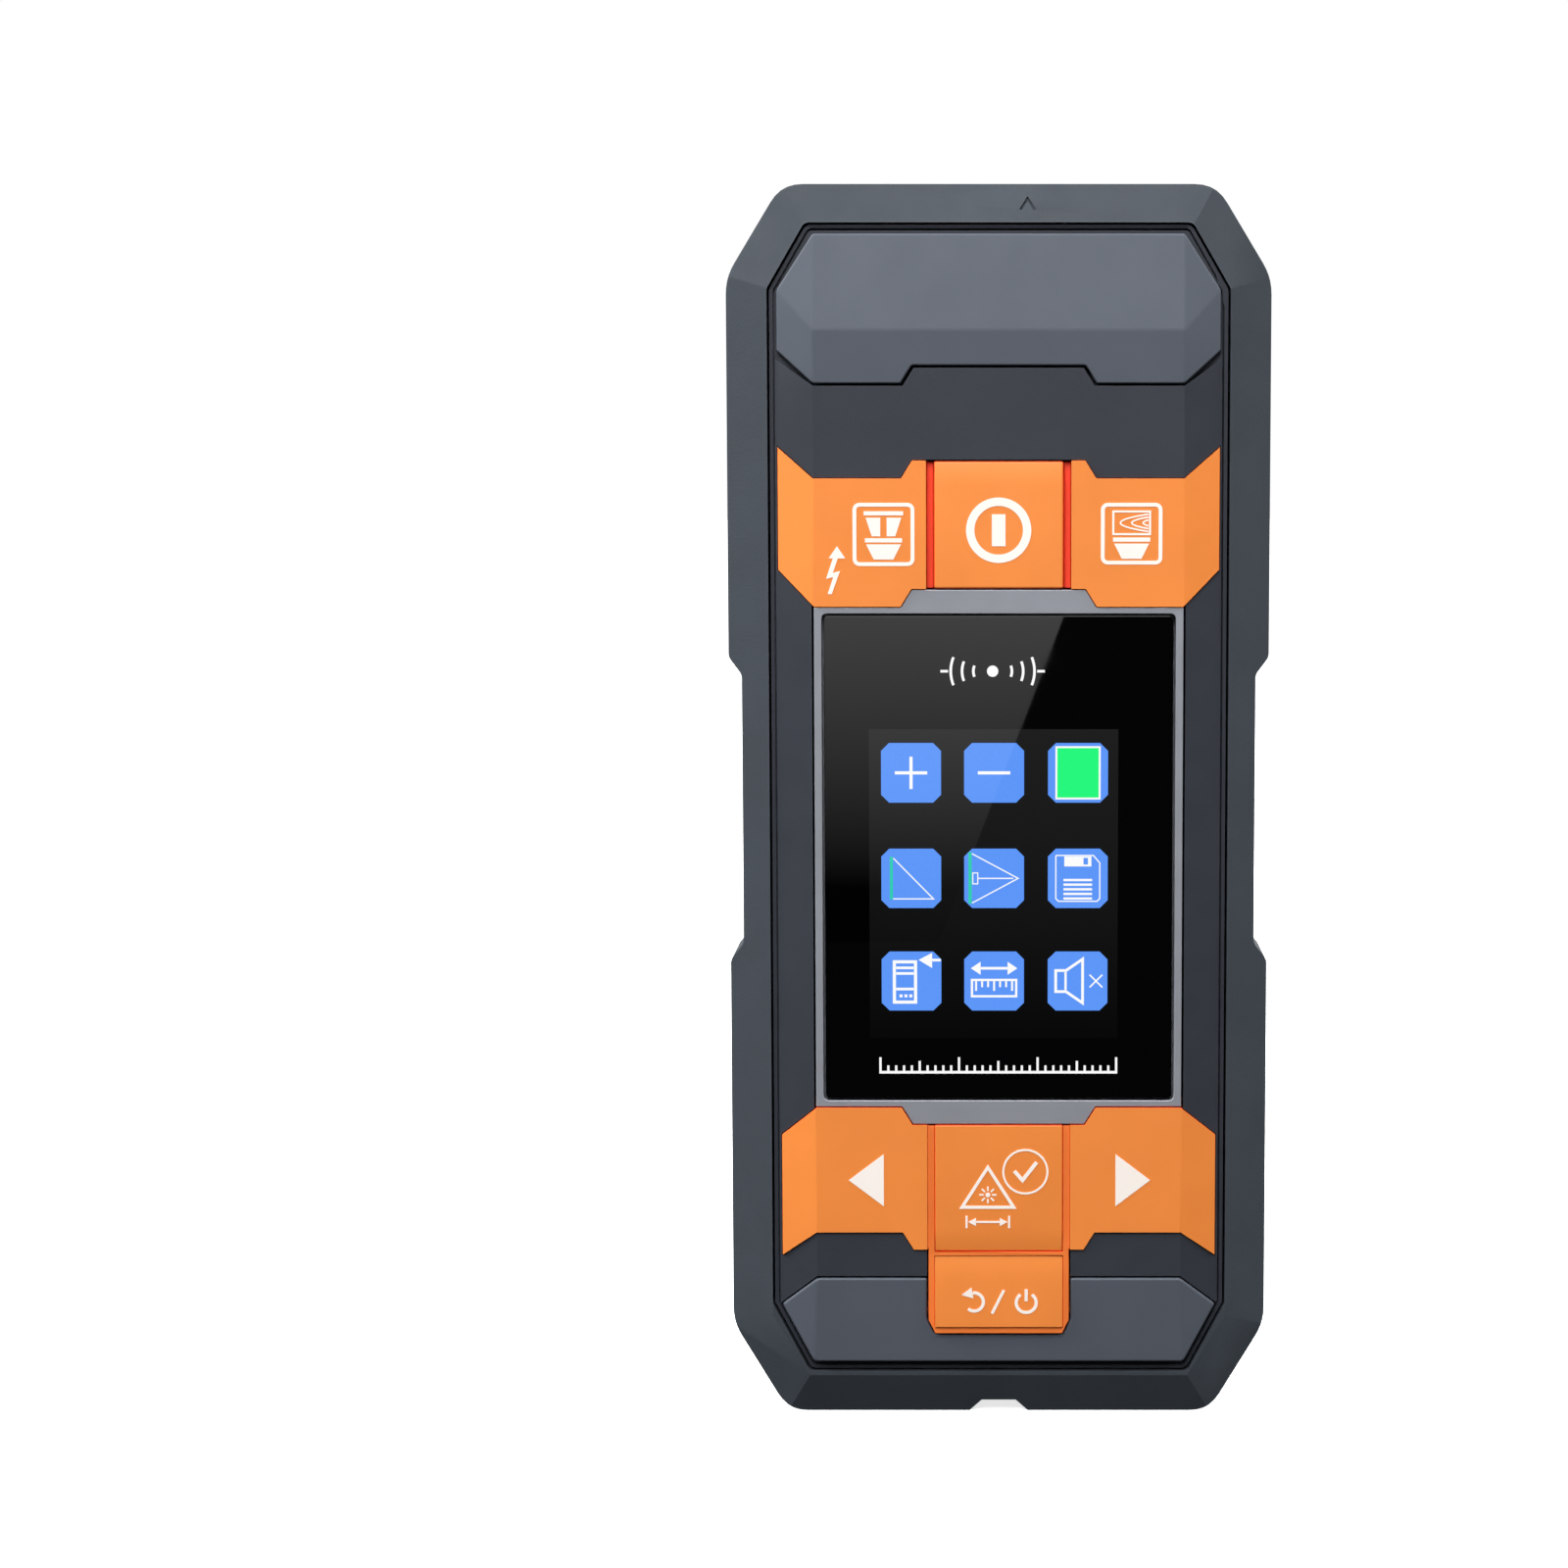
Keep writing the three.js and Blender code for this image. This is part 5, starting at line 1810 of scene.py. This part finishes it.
@dataclass
class DoorLatch:
    """Sliding latch in the door, with ridges for a thumb.

    Attributes:
        edge: Rounding of the latch.
        count: Number of grooves between the ridges.
        start: Distance of the first groove from the lower edge.
        step: Distance between two grooves.
        margin: Distance of a groove's ends from the sides.
        half: Half the width of a groove.
        depth: Depth of a groove.
        flare: Width of the chamfer at a groove's rim.
    """

    edge: float = 0.15
    count: int = 4
    start: float = 0.8
    step: float = 1
    margin: float = 0.8
    half: float = 0.2
    depth: float = 0.35
    flare: float = 0.05

    def build(self) -> None:
        """Builds the latch."""
        latch = moulding("door_latch", "latch_thumb")
        soften(latch, self.edge)
        low, high = span("door_latch")
        left, right = low.x + self.margin, high.x - self.margin
        tools = Shaper()
        for index in range(self.count):
            z = low.z + self.start + index * self.step
            groove = rectangle(left, z - self.half, right, z + self.half)
            tools.groove(groove, high.y, self.depth, self.flare)
        carve(latch, tools)
        fitted(latch, body_of("door_latch"), SHELL)


# ---------------------------------------------------------------- batteries


@dataclass
class BatteryBay:
    """Three wrapped cells, their wound springs and their contact plates.

    Attributes:
        band: Length of the coloured band at a cell's raised end.
        cell_edge: Rounding of a cell.
        cell_angle: Edges of a cell sharper than this many degrees are rounded.
        bare: Faces of a cell that turn further along it than this cosine are bare metal.
        wire: Diameter of the spring wire.
        turns: Turns of one spring.
        steps: Straight pieces in one turn.
        taper: Width of a spring at the cell, as a share of its width at the plate.
    """

    band: float = 11
    cell_edge: float = 0.15
    cell_angle: float = 30
    bare: float = 0.7
    wire: float = 0.45
    turns: float = 3.5
    steps: int = 24
    taper: float = 0.55

    def build(self) -> None:
        """Builds the cells and the springs."""
        for index in (1, 2, 3):
            self.build_cell(index)
            self.build_spring(index)

    def build_cell(self, index: int) -> None:
        """Builds one cell with a wrap in two colours and bare ends.

        Args:
            index: Number of the cell.
        """
        node = f"battery_{index}"
        piece = moulding(node, f"wrapped_cell_{index}")
        low, high = span(node)
        raised_end_up = span(f"contact_spring_{index}")[0].z < low.z
        split = (high.z - self.band) if raised_end_up else (low.z + self.band)
        work = bmesh.new()
        work.from_mesh(piece.data)
        sliced(work, Vector((0, 0, split)), UP)
        work.to_mesh(piece.data)
        work.free()
        soften(piece, self.cell_edge, angle=self.cell_angle)
        fitted(piece, body_of(node), CELL_WRAP)
        piece.data.materials.append(CELL_BAND.material())
        piece.data.materials.append(STEEL.material())
        for face in piece.data.polygons:
            if abs(face.normal.z) > self.bare:
                face.material_index = 2
            elif (face.center.z / MM > split) == raised_end_up:
                face.material_index = 1

    def coil(self, index: int) -> Iterator[Vector]:
        """Middle line of one spring, from its plate to its cell.

        Args:
            index: Number of the spring.

        Yields:
            Its points.
        """
        low, high = span(f"contact_spring_{index}")
        middle = (low + high) / 2
        plate_down = span(f"battery_{index}")[0].z > low.z
        wide = (high.x - low.x) / 2 - self.wire / 2
        rise = high.z - low.z - self.wire
        count = int(self.turns * self.steps)
        for step in range(count + 1):
            share = step / count
            radius = wide * (1 - (1 - self.taper) * share)
            angle = 2 * math.pi * self.turns * share
            z = low.z + self.wire / 2 + rise * (share if plate_down else 1 - share)
            across = Vector((math.cos(angle), math.sin(angle), 0)) * radius
            yield Vector((middle.x, middle.y, z)) + across

    def build_spring(self, index: int) -> None:
        """Builds one wound contact spring, wide at its plate.

        Args:
            index: Number of the spring.
        """
        node = f"contact_spring_{index}"
        curve = bpy.data.curves.new(f"wound_spring_{index}", "CURVE")
        curve.dimensions = "3D"
        curve.bevel_depth = self.wire / 2 * MM
        curve.bevel_resolution = 2
        curve.use_fill_caps = True
        spline = curve.splines.new("POLY")
        points = list(self.coil(index))
        spline.points.add(len(points) - 1)
        for point, place in zip(spline.points, points):
            point.co = (*(place * MM), 1)
        coil = bpy.data.objects.new(curve.name, curve)
        bpy.context.scene.collection.objects.link(coil)
        shape = coil.evaluated_get(bpy.context.evaluated_depsgraph_get())
        work = bmesh.new()
        work.from_mesh(bpy.data.meshes.new_from_object(shape))
        bpy.data.objects.remove(coil)
        bmesh.ops.remove_doubles(work, verts=work.verts, dist=WELD)
        piece = linked(f"spring_wire_{index}", work)
        piece.data.shade_smooth()
        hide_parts(node)
        fitted(piece, body_of(node), STEEL)


def dress_frame_nodes() -> None:
    """Gives every CAD node that still shows a finish from its own slot."""
    subparts = frame["record"]["subparts"]
    slots = {subpart["node"]: subpart["material_slot"] for subpart in subparts}
    for name, node in frame["nodes"].items():
        if node.hide_render:
            continue
        node.data.materials.clear()
        node.data.materials.append(SLOT_FINISHES[slots[name]].material())
        log.info("%s keeps its CAD shape, in %s", name, slots[name])


# ---------------------------------------------------------------- studio


@dataclass(frozen=True)
class Lamp:
    """One square soft light that faces the object.

    Attributes:
        name: Name of the light.
        place: Its place in metres.
        size: Length of its side in metres.
        power: Its power in watts.
    """

    name: str
    place: tuple[float, float, float]
    size: float
    power: float

    def hang(self, middle: Vector) -> None:
        """Hangs the light.

        Args:
            middle: The middle of the object.
        """
        light = bpy.data.lights.new(self.name, "AREA")
        light.size = self.size
        light.energy = self.power
        lamp = bpy.data.objects.new(self.name, light)
        bpy.context.scene.collection.objects.link(lamp)
        lamp.location = self.place
        lamp.rotation_mode = "QUATERNION"
        lamp.rotation_quaternion = (middle - lamp.location).to_track_quat("-Z", "Y")


LAMPS = (
    Lamp("key_light", (-0.1, -0.66, 0.68), 0.5, 8.2),
    Lamp("left_light", (-0.72, -0.12, 0.6), 0.4, 7.5),
    Lamp("right_light", (0.72, -0.12, 0.6), 0.4, 3.5),
    Lamp("back_light", (0.3, 0.8, 0.7), 0.6, 10),
)
GLARE = [(-34, 101), (13, 101), (-11, 38), (-34, 38)]


@dataclass
class Studio:
    """Pale floor, soft lights and the camera.

    Attributes:
        distance: From the camera to its target.
        elevation: Of the camera above the target, in degrees.
        lens: Focal length.
        sensor: Width of the camera's sensor.
        clip: Nearest distance that the camera sees, in metres.
        target: The camera's target, from the middle of the object.
        shift: Of the picture, in picture widths.
        floor_half: Half the width of the floor, in metres.
        floor_glow: Strength of the floor's own light.
        sky: Direction range and strength range of the light from above.
        back: Direction range and strength range of the light from behind.
        card_distance: From the glare card to the middle of the object.
        card_fade: Heights between which the card's light grows, in metres.
        card_glow: Strength of the card's light.
    """

    distance: float = 500
    elevation: float = 6
    lens: float = 84.6
    sensor: float = 36
    clip: float = 0.01
    target: tuple[float, float, float] = (0, -4, 1)
    shift: Point = (-0.1369, 0.0069)
    floor_half: float = 4
    floor_glow: float = 0.75
    sky: tuple[Point, Point] = ((0, 0.7), (0.02, 0.55))
    back: tuple[Point, Point] = ((-0.1, 0.45), (0, 0.75))
    card_distance: float = 200
    card_fade: Point = (0.048, 0.1)
    card_glow: float = 1.3

    def build(self) -> None:
        """Builds the whole studio round the object."""
        bpy.context.scene.view_settings.view_transform = "Standard"
        low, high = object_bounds()
        middle = (low + high) / 2
        self.place_camera(middle)
        self.lay_floor(low.z)
        self.light_sky()
        for lamp in LAMPS:
            lamp.hang(middle)
        self.hang_glare_card(middle)

    def place_camera(self, middle: Vector) -> None:
        """Puts the camera in front of the object, a little above its middle.

        Args:
            middle: The middle of the object.
        """
        camera = bpy.data.objects.new("camera", bpy.data.cameras.new("camera"))
        bpy.context.scene.collection.objects.link(camera)
        bpy.context.scene.camera = camera
        angle = math.radians(self.elevation)
        back = Vector((0, -math.cos(angle), math.sin(angle)))
        camera.location = middle + (Vector(self.target) + back * self.distance) * MM
        camera.rotation_mode = "QUATERNION"
        camera.rotation_quaternion = (-back).to_track_quat("-Z", "Y")
        camera.data.lens = self.lens
        camera.data.sensor_width = self.sensor
        camera.data.shift_x, camera.data.shift_y = self.shift
        camera.data.clip_start = self.clip

    def lay_floor(self, height: float) -> None:
        """Lays a large pale floor that only the camera sees.

        Args:
            height: Height of the floor in metres.
        """
        work = bmesh.new()
        bmesh.ops.create_grid(work, x_segments=8, y_segments=8, size=self.floor_half)
        floor = linked("floor", work)
        floor.location.z = height
        nodes = Nodes("floor_paper")
        nodes.feed("Base Color", nodes.blend(nodes.noise(60), (0.9,) * 3, (0.94,) * 3))
        nodes.set("Roughness", 0.9)
        nodes.set("Emission Color", WHITE)
        nodes.set("Emission Strength", self.floor_glow)
        floor.data.materials.append(nodes.material)
        floor.visible_diffuse = False
        floor.visible_glossy = False
        floor.visible_transmission = False
        floor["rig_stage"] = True

    def light_sky(self) -> None:
        """Makes a white surrounding that lights the object from above and behind."""
        world = bpy.data.worlds.new("studio")
        bpy.context.scene.world = world
        world.use_nodes = True
        tree = world.node_tree
        tree.nodes.clear()
        choice = tree.nodes.new("ShaderNodeMixShader")
        output = tree.nodes.new("ShaderNodeOutputWorld")
        ray = tree.nodes.new("ShaderNodeLightPath")
        tree.links.new(ray.outputs["Is Camera Ray"], choice.inputs["Fac"])
        tree.links.new(choice.outputs["Shader"], output.inputs["Surface"])
        backgrounds = []
        for socket in [socket for socket in choice.inputs if socket.type == "SHADER"]:
            background = tree.nodes.new("ShaderNodeBackground")
            background.inputs["Color"].default_value = (*WHITE, 1)
            tree.links.new(background.outputs["Background"], socket)
            backgrounds.append(background)
        tree.links.new(self.sky_strength(tree), backgrounds[0].inputs["Strength"])

    def sky_strength(self, tree: bpy.types.NodeTree) -> Socket:
        """Builds the strength of the light that the surrounding casts.

        Args:
            tree: The surrounding's nodes.

        Returns:
            The socket with the strength.
        """
        place = tree.nodes.new("ShaderNodeTexCoord")
        parts = tree.nodes.new("ShaderNodeSeparateXYZ")
        total = tree.nodes.new("ShaderNodeMath")
        total.operation = "ADD"
        tree.links.new(place.outputs["Generated"], parts.inputs["Vector"])
        ranges = (("Z", self.sky), ("Y", self.back))
        for index, (axis, (source, target)) in enumerate(ranges):
            share = tree.nodes.new("ShaderNodeMapRange")
            limits = ("From Min", "From Max", "To Min", "To Max")
            for name, limit in zip(limits, (*source, *target)):
                share.inputs[name].default_value = limit
            tree.links.new(parts.outputs[axis], share.inputs["Value"])
            tree.links.new(share.outputs["Result"], total.inputs[index])
        return total.outputs["Value"]

    def hang_glare_card(self, middle: Vector) -> None:
        """Hangs a slanted bright card before the screen, for the glare on its glass.

        Args:
            middle: The middle of the object.
        """
        back = middle.y / MM - self.card_distance
        shapes = Shaper()
        shapes.plate(GLARE, back - PAST, back)
        card = shapes.piece("glare_card")
        nodes = Nodes("glare")
        nodes.set("Base Color", BLACK)
        nodes.set("Roughness", 1)
        nodes.set("Specular IOR Level", 0)
        nodes.set("Emission Strength", self.card_glow)
        share = nodes.span(nodes.height(), self.card_fade)
        nodes.feed("Emission Color", nodes.blend(share, BLACK, WHITE))
        card.data.materials.append(nodes.material)
        card.visible_camera = False
        card.visible_diffuse = False
        card.visible_shadow = False
        card.visible_transmission = False
        card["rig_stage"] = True


def main() -> None:
    """Builds every sub-assembly round the frame, then the studio."""
    logging.basicConfig(level=logging.INFO, format="%(name)s: %(message)s")
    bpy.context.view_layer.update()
    Bumper().build()
    FrontHousing().build()
    Keys().build()
    Screen().build()
    RearCase().build()
    BatteryDoor().build()
    DoorLatch().build()
    BatteryBay().build()
    dress_frame_nodes()
    Studio().build()


if __name__ == "__main__":
    main()
